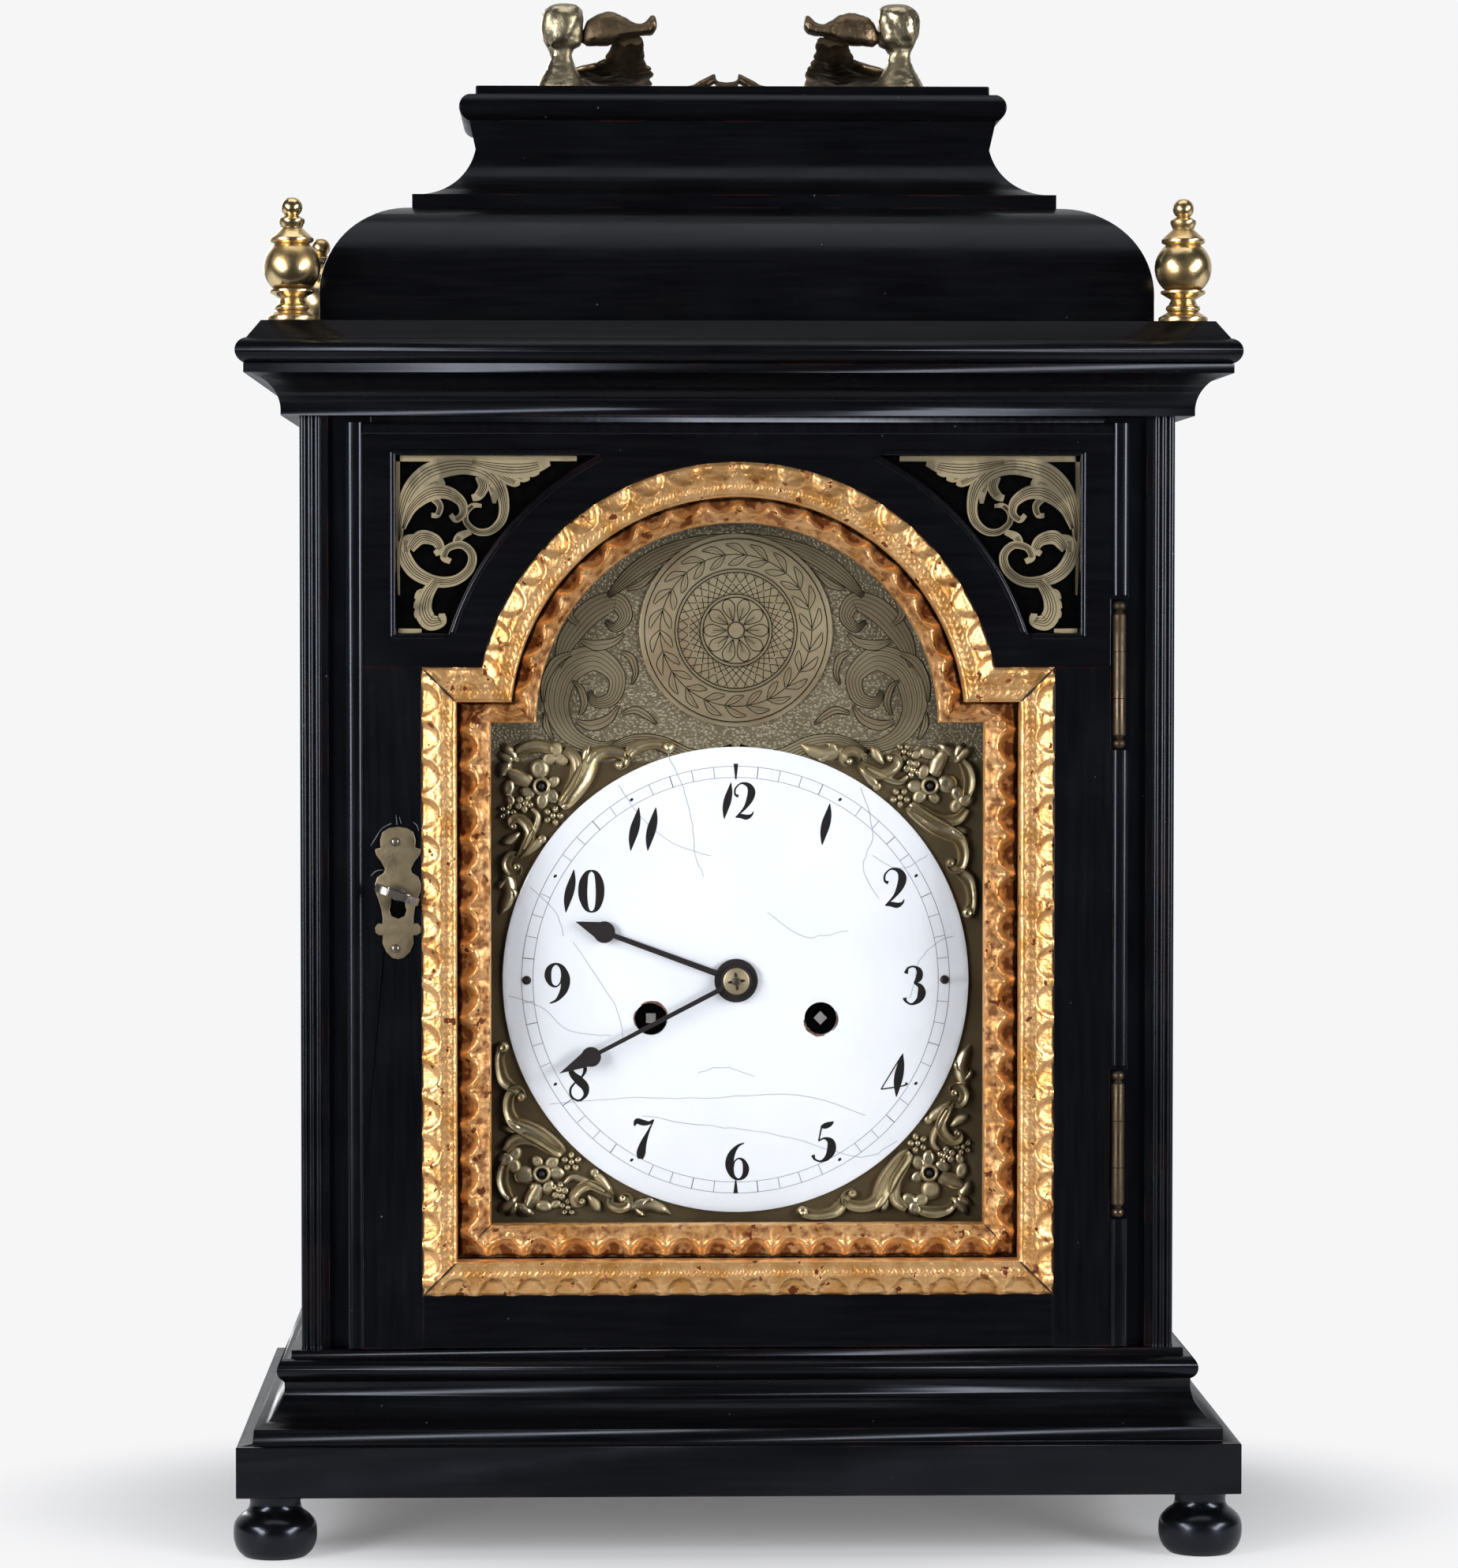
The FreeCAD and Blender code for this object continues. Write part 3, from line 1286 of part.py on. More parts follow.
def tooth_points(place, teeth, module, phase, leaf, root_share):
    """Outline of straight-flanked teeth, the first tooth centred on the phase angle."""
    pitch = teeth * module / 2
    step = 2 * math.pi / teeth
    half = leaf * step / 2
    rings = ((pitch - 1.3 * module, half * root_share), (pitch, half), (pitch + 0.8 * module, half * 0.45))
    points = []
    for number in range(teeth):
        middle = phase + number * step
        for radius, share in rings:
            points.append((radius, middle - share))
        for radius, share in reversed(rings):
            points.append((radius, middle + share))
    return [Vector(place[0] + radius * math.cos(turn), 0, place[1] + radius * math.sin(turn))
            for radius, turn in points]


def crossings(place, inner, outer):
    """Four windows that leave the crossed spokes of a wheel."""
    windows = []
    for quarter in range(4):
        middle = math.radians(45 + 90 * quarter)
        spread = math.radians(34)
        ring = [(inner, middle - spread * 0.6), (inner, middle + spread * 0.6)]
        ring += [(outer, middle + spread * share) for share in (1, 0.5, 0, -0.5, -1)]
        corners = [Vector(place[0] + radius * math.cos(turn), 0, place[1] + radius * math.sin(turn))
                   for radius, turn in ring]
        windows.append(Part.makePolygon(corners + corners[:1]))
    return windows


def wheel(place, low_y, teeth, module, phase, crossed=True):
    points = tooth_points(place, teeth, module, phase, 0.46, 1.2)
    wires = [Part.makePolygon(points + points[:1])]
    pitch = teeth * module / 2
    if crossed:
        wires += crossings(place, pitch * 0.3, pitch * 0.8)
    face = Part.Face(wires, "Part::FaceMakerBullseye")
    disc = face.extrude(Vector(0, mm.wheel_thickness, 0))
    disc.translate(Vector(0, low_y, 0))
    return disc


def pinion(place, low_y, teeth, module, phase, long):
    points = tooth_points(place, teeth, module, phase, 0.34, 1.0)
    leaves = Part.Face(Part.makePolygon(points + points[:1])).extrude(Vector(0, long, 0))
    leaves.translate(Vector(0, low_y, 0))
    return leaves


def bar(place, low_y, high_y, radius):
    return Part.makeCylinder(radius, high_y - low_y, Vector(place[0], low_y, place[1]), Vector(0, 1, 0))


def arbor(place, first=None, last=None):
    """Arbor between the plates with a pivot in each plate."""
    low, high = plate_inside.value + 0.2, back_inside.value - 0.2
    pivot = mm.pivot_arbor_diameter / 2
    first = plate_front.value if first is None else first
    last = back_face.value if last is None else last
    return [bar(place, low, high, mm.arbor_diameter / 2), bar(place, first, last, pivot)]


def joined(name, parts, cuts=()):
    shape = parts[0].multiFuse(parts[1:])
    for waste in cuts:
        shape = shape.cut(waste)
    return node(solid(name, shape))


def mesh_phase(place, partner, teeth):
    """Phase that puts a gap of this wheel on the line to its partner."""
    return aim(place, partner) + math.pi / teeth


def plates(at):
    pivot = mm.pivot_arbor_diameter / 2 + mm.running_clearance
    barrel = mm.barrel_arbor_diameter / 2 + mm.running_clearance
    centre = mm.centre_arbor_diameter / 2 + mm.running_clearance
    holes = [(x, z, pivot) for x, z in (at.third, at.escape, at.anchor, at.pin, at.hammer)]
    holes += [(x, z, barrel) for x, z in (at.going, at.strike)]
    half = dim.plate_width / 2
    edge = [(-half, plate_bottom), (half, plate_bottom), (half, plate_bottom + dim.plate_height),
            (-half, plate_bottom + dim.plate_height)]
    for name, low in (("front_plate", plate_front), ("back_plate", back_inside)):
        sheet_metal = plate(name + "_sheet", [edge], low, dim.plate_thickness)
        drills = [rod("%s_hole_%d" % (name, i), (x, low - 1, z), radius, dim.plate_thickness + 2, TO_BACK)
                  for i, (x, z, radius) in enumerate(holes + [at.centre + (centre,)])]
        centre = pivot
        drilled = cut(name + "_drilled", sheet_metal, drills)
        if name == "front_plate":
            stud = rod("minute_stud", (at.minute[0], dial_back + 2, at.minute[1]), 1.5,
                       dim.dial_foot_length - 2, TO_BACK)
            node(fuse(name, [drilled, stud]))
        else:
            drilled.Label = name
            node(drilled)
    pieces = []
    radius, foot = mm.plate_pillar_diameter / 2, mm.dial_foot_diameter / 2
    edge, bottom = mm.plate_width / 2, plate_bottom.value
    top = bottom + mm.plate_height
    for side in (1, -1):
        lower = (side * (edge - mm.plate_pillar_inset), bottom + mm.plate_pillar_inset)
        upper = (side * (mm.bell_diameter / 2 + mm.upper_pillar_gap), top - mm.plate_pillar_inset)
        pieces += [bar(place, plate_inside.value, back_inside.value, radius) for place in (lower, upper)]
        for z in (bottom + mm.dial_foot_rise, top - mm.dial_foot_rise):
            pieces.append(bar((side * (edge - mm.dial_foot_inset), z), dial_back.value, plate_front.value,
                              foot))
    node(solid("movement_pillars", Part.makeCompound(pieces)))


def winding_barrel(name, place, phase, module, setback=0):
    """Spring barrel with its great wheel at the front end, free on the winding arbor."""
    low = plate_inside.value + 1.5 + setback
    great = wheel(place, low, GREAT_TEETH, module, phase, crossed=False)
    drum = bar(place, low + mm.wheel_thickness, low + mm.wheel_thickness + mm.barrel_length,
               mm.barrel_diameter / 2)
    bore = bar(place, low - 1, low + mm.barrel_length + 10,
               mm.barrel_arbor_diameter / 2 + mm.running_clearance)
    joined(name + "_barrel", [great, drum], [bore])
    arbor_radius, side = mm.barrel_arbor_diameter / 2, mm.winding_square
    collar = low + mm.wheel_thickness + mm.barrel_length
    tip = dial_front.value - 0.6
    square = Part.makeBox(side, plate_front.value - 1 - tip, side,
                          Vector(place[0] - side / 2, tip, place[1] - side / 2))
    if name == "going":
        square.rotate(Vector(place[0], 0, place[1]), Vector(0, 1, 0), 45)
    joined(name + "_arbor", [bar(place, plate_front.value - 1, back_face.value, arbor_radius), square,
                             bar(place, collar + 0.3, collar + 3, arbor_radius + 2)])


def going_train(at):
    low = plate_inside.value
    great_y = low + 1.5
    winding_barrel("going", at.going, aim(at.going, at.centre), at.great_module)
    centre_y, third_y = low + mm.centre_wheel_level, low + mm.third_wheel_level
    escape_y = low + mm.escape_wheel_level
    hour_y, minute_y = hand_levels()
    front_end = minute_y - mm.hand_thickness - 2.4
    parts = [bar(at.centre, front_end, low + 0.2, mm.centre_arbor_diameter / 2)]
    pivot = mm.pivot_arbor_diameter / 2
    parts += [bar(at.centre, low + 0.2, back_inside.value - 0.2, mm.arbor_diameter / 2),
              bar(at.centre, low, back_face.value, pivot),
              pinion(at.centre, great_y - 1, CENTRE_PINION, at.great_module,
                     mesh_phase(at.centre, at.going, CENTRE_PINION), mm.pinion_length),
              wheel(at.centre, centre_y, TRAIN_TEETH, mm.train_module, aim(at.centre, at.third))]
    joined("centre_wheel", parts)
    parts = arbor(at.third)
    parts += [pinion(at.third, centre_y - 1, TRAIN_PINION, mm.train_module,
                     mesh_phase(at.third, at.centre, TRAIN_PINION), mm.pinion_length),
              wheel(at.third, third_y, TRAIN_TEETH, mm.train_module, aim(at.third, at.escape))]
    joined("third_wheel", parts)
    parts = arbor(at.escape)
    parts += [pinion(at.escape, third_y - 1, TRAIN_PINION, mm.train_module,
                     mesh_phase(at.escape, at.third, TRAIN_PINION), mm.pinion_length),
              escape_disc(at.escape, escape_y)]
    joined("escape_wheel", parts)
    return escape_y


def escape_disc(place, low_y):
    points = []
    for number in range(ESCAPE_TEETH):
        turn = 2 * math.pi * number / ESCAPE_TEETH
        step = 2 * math.pi / ESCAPE_TEETH
        for radius, share in ((mm.escape_radius, 0), (mm.escape_radius, 0.12),
                              (mm.escape_radius - 2.2, 0.3),
                              (mm.escape_radius - 2.2, 0.9)):
            angle = turn + step * share
            points.append(Vector(place[0] + radius * math.cos(angle), low_y,
                                 place[1] + radius * math.sin(angle)))
    wires = [Part.makePolygon(points + points[:1])]
    for window in crossings(place, mm.escape_radius * 0.3, mm.escape_radius * 0.62):
        window.translate(Vector(0, low_y, 0))
        wires.append(window)
    return Part.Face(wires, "Part::FaceMakerBullseye").extrude(Vector(0, mm.wheel_thickness, 0))


def anchor_and_pendulum(at, escape_y):
    """Anchor with its crutch, the back cock it runs in, and the pendulum hung on the cock's stud."""
    x, z = at.anchor
    reach = mm.escape_radius + mm.pallet_clearance
    tip = math.radians(46)
    pallet = (reach * math.sin(tip), reach * math.cos(tip) - mm.anchor_rise)
    arm = [(-2, 2.5), (-pallet[0] - 2.2, pallet[1] + 2.0), (-pallet[0] - 0.3, pallet[1] - 0.2),
           (-pallet[0] + 0.6, pallet[1] + 1.4), (0, -2.2), (pallet[0] - 0.6,
                                                            pallet[1] + 1.4),
                                                            (pallet[0] + 0.3, pallet[1] - 0.2),
           (pallet[0] + 2.2, pallet[1] + 2.0), (2, 2.5)]
    corners = [Vector(x + across, escape_y, z + up) for across, up in arm]
    pallets = Part.Face(Part.makePolygon(corners + corners[:1])).extrude(Vector(0, mm.wheel_thickness, 0))
    back = back_face.value
    parts = arbor(at.anchor, last=back + 6.5) + [pallets]
    rod_y = back + 9.5
    fork_z = z - mm.crutch_length
    radius = mm.rod_diameter / 2
    parts.append(bar(at.anchor, back + 1, back + 2.6, 2.6))
    parts.append(Part.makeBox(2.4, 1.6, mm.crutch_length, Vector(x - 1.2, back + 1, fork_z)))
    for side in (1, -1):
        parts.append(Part.makeBox(1.5, 11, 2, Vector(x + side * (radius + 0.85) - 0.75, back + 1, fork_z)))
    parts.append(Part.makeBox(2 * radius + 3.2, 1.6, 2, Vector(x - radius - 1.6, back + 1, fork_z)))
    joined("anchor", parts)

    bridge_y = back + 4.5
    foot_x = 14
    feet = [Part.makeBox(5, bridge_y - back, 8, Vector(x + side * foot_x - 2.5, back,
                                                       z - 4)) for side in (1, -1)]
    bridge = Part.makeBox(2 * foot_x + 5, 2.5, 8, Vector(x - foot_x - 2.5, bridge_y, z - 4))
    stud = bar(at.anchor, bridge_y + 2.5, rod_y + 4, 1.5)
    hole = bar(at.anchor, bridge_y - 1, back + 6.6, mm.pivot_arbor_diameter / 2 + mm.running_clearance)
    joined("back_cock", [bridge, stud] + feet, [hole])

    eye = bar(at.anchor, rod_y - 1.5, rod_y + 1.5, 4)
    eye_hole = bar(at.anchor, rod_y - 3, rod_y + 3, 1.5 + mm.running_clearance)
    long = mm.pendulum_length + mm.bob_diameter / 2 + mm.rod_tail
    shaft = Part.makeCylinder(radius, long, Vector(x, rod_y, z - 3), Vector(0, 0, -1))
    joined("pendulum_rod", [eye, shaft], [eye_hole])
    centre = z - mm.pendulum_length
    half, deep = mm.bob_diameter / 2, mm.bob_thickness / 2
    lens = [Part.makeCone(half * 0.35, half, deep, Vector(x, rod_y - deep, centre), Vector(0, 1, 0)),
            Part.makeCone(half, half * 0.35, deep, Vector(x, rod_y, centre), Vector(0, 1, 0))]
    nut = Part.makeCylinder(3.5, 3, Vector(x, rod_y, centre - half - 4), Vector(0, 0, 1))
    bore = Part.makeCylinder(radius + 0.02, mm.bob_diameter * 2, Vector(x, rod_y, centre - mm.bob_diameter),
                             Vector(0, 0, 1))
    disc = lens[0].fuse(lens[1])
    disc = disc.fuse(nut.fuse(Part.makeCylinder(2.4, 2, Vector(x, rod_y, centre - half - 1.2),
                                                Vector(0, 0, 1))))
    node(solid("pendulum_bob", disc.cut(bore)))


def motion_work(at):
    """Cannon pinion on the centre arbor, minute wheel on its stud, hour wheel on the cannon."""
    hour_y, minute_y = hand_levels()
    low = plate_front.value - 5
    fit = 0.02
    arbor_hole = bar(at.centre, minute_y - 5, plate_front.value + 1,
                     mm.centre_arbor_diameter / 2 + mm.running_clearance)
    cannon = [pinion(at.centre, low - 1, CANNON_TEETH, mm.motion_module,
                     mesh_phase(at.centre, at.minute, CANNON_TEETH), mm.pinion_length),
              bar(at.centre, minute_y - mm.hand_thickness, low, mm.cannon_diameter / 2)]
    joined("cannon_pinion", cannon, [arbor_hole])
    hour_low = low - 5
    step = math.hypot(at.minute[0] - at.centre[0], at.minute[1] - at.centre[1])
    hour_module = 2 * step / (MINUTE_PINION + HOUR_TEETH)
    stud_hole = bar(at.minute, dial_back.value, plate_front.value + 1, 1.5 + mm.running_clearance)
    minute = [wheel(at.minute, low, MINUTE_TEETH, mm.motion_module, aim(at.minute, at.centre),
                    crossed=False),
              pinion(at.minute, hour_low - 1, MINUTE_PINION, hour_module,
                     mesh_phase(at.minute, at.centre, MINUTE_PINION), low - hour_low + 1)]
    joined("minute_wheel", minute, [stud_hole])
    cannon_hole = bar(at.centre, hour_y - 5, plate_front.value,
                      mm.cannon_diameter / 2 + mm.running_clearance)
    hour = [wheel(at.centre, hour_low, HOUR_TEETH, hour_module, aim(at.centre, at.minute), crossed=False),
            bar(at.centre, hour_y - mm.hand_thickness, hour_low, mm.hour_pipe_diameter / 2)]
    joined("hour_wheel", hour, [cannon_hole])


def strike_train(at):
    low = plate_inside.value
    winding_barrel("strike", at.strike, aim(at.strike, at.pin), at.great_module, mm.strike_setback)
    wheel_y = low + mm.pin_wheel_level
    teeth = 64
    parts = arbor(at.pin)
    parts += [pinion(at.pin, low + mm.strike_setback + 0.5, TRAIN_PINION, at.great_module,
                     mesh_phase(at.pin, at.strike, TRAIN_PINION), mm.pinion_length),
              wheel(at.pin, wheel_y, teeth, mm.train_module, 0, crossed=False)]
    for number in range(PIN_WHEEL_PINS):
        place = around(at.pin, teeth * mm.train_module / 2 - mm.strike_pin_inset,
                       360 * number / PIN_WHEEL_PINS)
        parts.append(bar(place, wheel_y - mm.strike_pin_length, wheel_y + mm.wheel_thickness / 2,
                         mm.strike_pin_diameter / 2))
    joined("pin_wheel", parts)

    middle = plate_inside.value + mm.plate_gap / 2
    rim_z = plate_bottom.value + mm.plate_height + mm.bell_rise
    radius = mm.bell_diameter / 2
    head_z = rim_z + 5
    head_x = -radius - mm.hammer_gap
    parts = arbor(at.hammer)
    parts.append(Part.makeBox(2.4, 4, head_z - at.hammer[1] + 3,
                              Vector(at.hammer[0] - 1.2, middle - 2, at.hammer[1])))
    parts.append(Part.makeCylinder(4, head_x - at.hammer[0], Vector(at.hammer[0], middle, head_z),
                                   Vector(1, 0, 0)))
    joined("hammer", parts)
    bell_and_stand(middle, rim_z)


def bell_and_stand(middle, rim_z):
    """Open-mouthed bell under an arm that rises from the back plate."""
    outer, thick = mm.bell_diameter / 2, mm.bell_thickness
    shell = Part.makeSphere(outer, Vector(0, middle, rim_z), Vector(0, 0, 1), 0, 90, 360)
    hollow = Part.makeSphere(outer - thick, Vector(0, middle, rim_z), Vector(0, 0, 1), -90, 90, 360)
    crown = Part.makeCylinder(5, 3, Vector(0, middle, rim_z + outer - 1), Vector(0, 0, 1))
    joined("bell", [shell, crown], [hollow])
    arm_z = rim_z + outer + 2
    back = back_face.value
    stem_x, wide, thin = mm.bell_stand_reach, mm.bell_stand_width, mm.bell_stand_thickness
    stem_low = plate_bottom.value + mm.plate_height - mm.bell_stand_overlap
    parts = [Part.makeBox(wide, thin, arm_z + thin - stem_low, Vector(stem_x - wide / 2, back, stem_low)),
             Part.makeBox(stem_x + wide, thin, thin, Vector(-wide / 2, back, arm_z)),
             Part.makeBox(wide, back + thin - middle + wide / 2, thin,
                          Vector(-wide / 2, middle - wide / 2, arm_z))]
    joined("bell_stand", parts)


def seat_board():
    across = half_width - dim.panel_thickness
    low_y = plate_front - 2
    node(box("seat_board", (-across, low_y, plate_bottom - dim.seat_board_thickness),
             (across, low_y + dim.seat_board_depth, plate_bottom)))


def build():
    blocks = mitre_blocks()
    bun_feet()
    base_mouldings(blocks)
    bottom_board()
    side_panels()
    front_frame()
    reeded_pilasters()
    back_frame()
    back_door()
    cornice_mouldings(blocks)
    bell_top()
    corner_finials()
    handle_pillars()
    carry_handle()
    door_stiles()
    door_top_rail()
    door_bottom_rail()
    gilt_frames()
    sound_frets()
    escutcheon()
    lock()
    door_key()
    hinges()
    dial_mask()
    dial()
    corner_spandrels()
    dial_screws()
    hands()
    seat_board()
    at = train_places()
    plates(at)
    escape_y = going_train(at)
    anchor_and_pendulum(at, escape_y)
    motion_work(at)
    strike_train(at)


def write():
    """Checks every object and each node's shape, then writes one file for each node."""
    doc.recompute()
    failed = [piece.Name for piece in doc.Objects if "Invalid" in piece.State or "Error" in piece.State]
    for piece in nodes:
        if piece.Shape.isNull() or not piece.Shape.isValid():
            failed.append(piece.Label)
    if failed:
        raise RuntimeError("pieces that failed: " + ", ".join(failed))
    os.makedirs("parts", exist_ok=True)
    for piece in nodes:
        piece.Shape.exportStep("parts/%s.step" % piece.Label)
        box_of = piece.Shape.BoundBox
        print("%-20s solids %2d  X %7.1f %7.1f  Y %7.1f %7.1f  Z %7.1f %7.1f" % (
            piece.Label, len(piece.Shape.Solids), box_of.XMin, box_of.XMax, box_of.YMin, box_of.YMax,
            box_of.ZMin, box_of.ZMax))


build()
write()
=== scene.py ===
import math

import bmesh
import bpy
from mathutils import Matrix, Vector, noise


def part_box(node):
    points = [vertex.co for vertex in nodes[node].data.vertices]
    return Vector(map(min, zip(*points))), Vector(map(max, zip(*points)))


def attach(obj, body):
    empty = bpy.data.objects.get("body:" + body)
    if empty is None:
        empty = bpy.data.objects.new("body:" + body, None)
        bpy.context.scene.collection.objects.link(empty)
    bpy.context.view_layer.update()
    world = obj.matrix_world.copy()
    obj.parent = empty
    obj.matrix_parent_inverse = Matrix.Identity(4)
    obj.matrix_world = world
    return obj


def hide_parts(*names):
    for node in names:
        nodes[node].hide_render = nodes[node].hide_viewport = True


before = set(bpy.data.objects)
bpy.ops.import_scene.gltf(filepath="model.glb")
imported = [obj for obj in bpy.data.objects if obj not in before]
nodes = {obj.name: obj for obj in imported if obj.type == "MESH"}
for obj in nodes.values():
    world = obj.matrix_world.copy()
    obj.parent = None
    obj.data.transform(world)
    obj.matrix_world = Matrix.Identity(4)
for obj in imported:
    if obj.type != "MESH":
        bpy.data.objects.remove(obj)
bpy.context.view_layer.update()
MM = 0.001

# Places in mm, in the same frame as the solids. First the heights of the middles of dial, boss and
# arch, of the lower edge of the matting, of the cap board and of the pillars' feet and tops.
DIAL_Z = 179.4
BOSS_Z = 291.8
ARCH_Z = 262.0
MATTING_Z = 249.2
CAP_Z = 468.9
PILLAR_FOOT_Z = 469.6
PILLAR_TOP_Z = 499.9
# Front of the dial plate, front of the door and back of the frets.
PLATE_Y = -58.0
DOOR_Y = -84.0
FRET_BACK_Y = -81.0
# Outer top corner of the left fret's window, and of a spandrel from the middle of the dial.
FRET_LEFT, FRET_TOP = -108, 347
SPANDREL_CORNER = 76.6
# Radius, rim and rise of the painted enamel.
ENAMEL_DOME = (75, -59.43, 1.6)
# Heights of painted lines and of veins, and the step from one leaf to the leaf that overlaps it.
LINE_HEIGHT = 0.05
VEIN_HEIGHT = 0.008
OVERLAP_STEP = 0.014
# Width of the worn arrises on wood and on metal.
WOOD_ARRIS = 0.5
METAL_ARRIS = 0.15
# Points round a handle pillar.
PILLAR_SIDES = 32
# The room as the camera sees it, and as polish mirrors it.
PALE_ROOM = "#f6f6f7"
DIM_ROOM = "#2e3034"


def linear(code):
    """sRGB hex code as the linear colour that shaders work in."""
    parts = [int(code[i:i + 2], 16) / 255 for i in (1, 3, 5)]
    return tuple(c / 12.92 if c <= 0.04045 else ((c + 0.055) / 1.055) ** 2.4 for c in parts) + (1.0,)


def add(tree, kind, inputs=None, **settings):
    """Adds one shader node. An input is a value, or the socket that feeds it."""
    item = tree.nodes.new("ShaderNode" + kind)
    for word, value in settings.items():
        setattr(item, word, value)
    for socket, value in (inputs or {}).items():
        if isinstance(value, bpy.types.NodeSocket):
            tree.links.new(value, item.inputs[socket])
        else:
            item.inputs[socket].default_value = value
    return item


def blank_material(name):
    made = bpy.data.materials.new(name)
    made.use_nodes = True
    made.node_tree.nodes.clear()
    return made, made.node_tree, add(made.node_tree, "TexCoord").outputs["Object"]


def patches(tree, place, size, low, high, detail=4.0, stretch=(1, 1, 1), shift=0.0):
    """Share from 0 to 1 in soft patches about size mm across; a texture's scale is in cells to a metre."""
    moved = add(tree, "Mapping", {"Vector": place, "Scale": stretch, "Location": (shift, shift, shift)})
    cloud = add(tree, "TexNoise", {"Vector": moved.outputs[0], "Scale": 1000 / size, "Detail": detail})
    return add(tree, "MapRange", {"Value": cloud.outputs[0], "From Min": low, "From Max": high}).outputs[0]


def specks(tree, place, spacing, radius, within=1.0):
    """Share that is 1 in small round specks, one to a cell of spacing mm, as far as within lets them
    show."""
    cells = add(tree, "TexVoronoi", {"Vector": place, "Scale": 1000 / spacing})
    spots = add(tree, "MapRange", {"Value": cells.outputs["Distance"], "From Min": radius / spacing,
                                   "From Max": radius / spacing * 0.6})
    return add(tree, "Math", {0: spots.outputs[0], 1: within}, operation="MULTIPLY").outputs[0]


def hollows(tree, reach, low, high):
    """Share that grows in the hollows of a carving or casting, looking reach mm around."""
    open_share = add(tree, "AmbientOcclusion", {"Distance": reach * MM}, samples=6).outputs["AO"]
    return add(tree, "MapRange", {"Value": open_share, "From Min": high, "From Max": low}).outputs[0]


def arrises(tree, width, low, high, within):
    """Share that grows towards a sharp edge, within width mm of it, as far as within lets it show."""
    eased = add(tree, "Bevel", {"Radius": width * MM}, samples=4).outputs[0]
    flat = add(tree, "NewGeometry").outputs["Normal"]
    same = add(tree, "VectorMath", {0: eased, 1: flat}, operation="DOT_PRODUCT").outputs["Value"]
    edge = add(tree, "MapRange", {"Value": same, "From Min": 1 - low, "From Max": 1 - high}).outputs[0]
    return add(tree, "Math", {0: edge, 1: within}, operation="MULTIPLY").outputs[0]


def layered(tree, ground, *layers):
    """Colour built up over a ground: each layer has its share, how strongly it shows, and its colour. A
    colour is a code or a socket."""
    for share, strength, over in layers:
        shown = add(tree, "Math", {0: share, 1: strength}, operation="MULTIPLY").outputs[0]
        under, over = (linear(c) if isinstance(c, str) else c for c in (ground, over))
        ground = add(tree, "Mix", {0: shown, 6: under, 7: over}, data_type="RGBA").outputs[2]
    return ground


def surface(made, tree, inputs, *bumps):
    """Finishes a material. An input given as (share, low, high) goes from low to high with the share, and
    each bump is a pattern and its depth in mm, laid over the one before."""
    for socket, value in inputs.items():
        if isinstance(value, tuple) and len(value) == 3:
            share, low, high = value
            ranged = add(tree, "MapRange", {"Value": share, "To Min": low, "To Max": high})
            inputs[socket] = ranged.outputs[0]
    for height, depth in bumps:
        under = {"Normal": inputs["Normal"]} if "Normal" in inputs else {}
        bump = add(tree, "Bump", {"Height": height, "Distance": depth * MM, "Strength": 1.0, **under})
        inputs["Normal"] = bump.outputs[0]
    shader = add(tree, "BsdfPrincipled", inputs)
    add(tree, "OutputMaterial", {"Surface": shader.outputs[0]})
    return made


def ebonised(name, along, gloss, coat, rub):
    """Pearwood stained black and rubbed with oil varnish: near black, satin with a cold shine, dust in
    the pores, and red-brown wood where the arrises have rubbed through."""
    made, tree, place = blank_material(name)
    stretch = {"x": (0.06, 1, 1), "z": (1, 1, 0.06)}[along]
    grain = patches(tree, place, 1.6, 0.35, 0.7, 6, stretch)
    cloud = patches(tree, place, 26, 0.35, 0.7, 3)
    rubbed = arrises(tree, 0.9, 0.02, 0.12, patches(tree, place, 17, 0.5, 0.62, 5, shift=0.4))
    dust = specks(tree, place, 9, 0.34, patches(tree, place, 40, 0.42, 0.6, shift=0.2))
    colour = layered(tree, "#050507", (grain, 1, "#0b0b0d"), (rubbed, 0.35, "#4a2417"),
                     (dust, 0.5, "#6f7178"))
    return surface(made, tree, {"Base Color": colour, "Roughness": (cloud, rub, rub + 0.1),
                                "Specular IOR Level": gloss, "Specular Tint": linear("#d3ddf4"),
                                "Coat Weight": coat, "Coat Roughness": 0.1}, (grain, 0.012), (cloud, 0.02))


def carcase_wood():
    """Oak left bare inside the case: dull brown, open grain, darker where hands and oil have been."""
    made, tree, place = blank_material("oak_sawn_and_aged")
    grain = patches(tree, place, 2.4, 0.3, 0.7, 6, (1, 1, 0.05))
    stain = patches(tree, place, 45, 0.35, 0.7)
    colour = layered(tree, "#5c4128", (grain, 1, "#7d5c3a"), (stain, 0.6, "#33241a"))
    return surface(made, tree, {"Base Color": colour, "Roughness": (stain, 0.5, 0.75)}, (grain, 0.06))


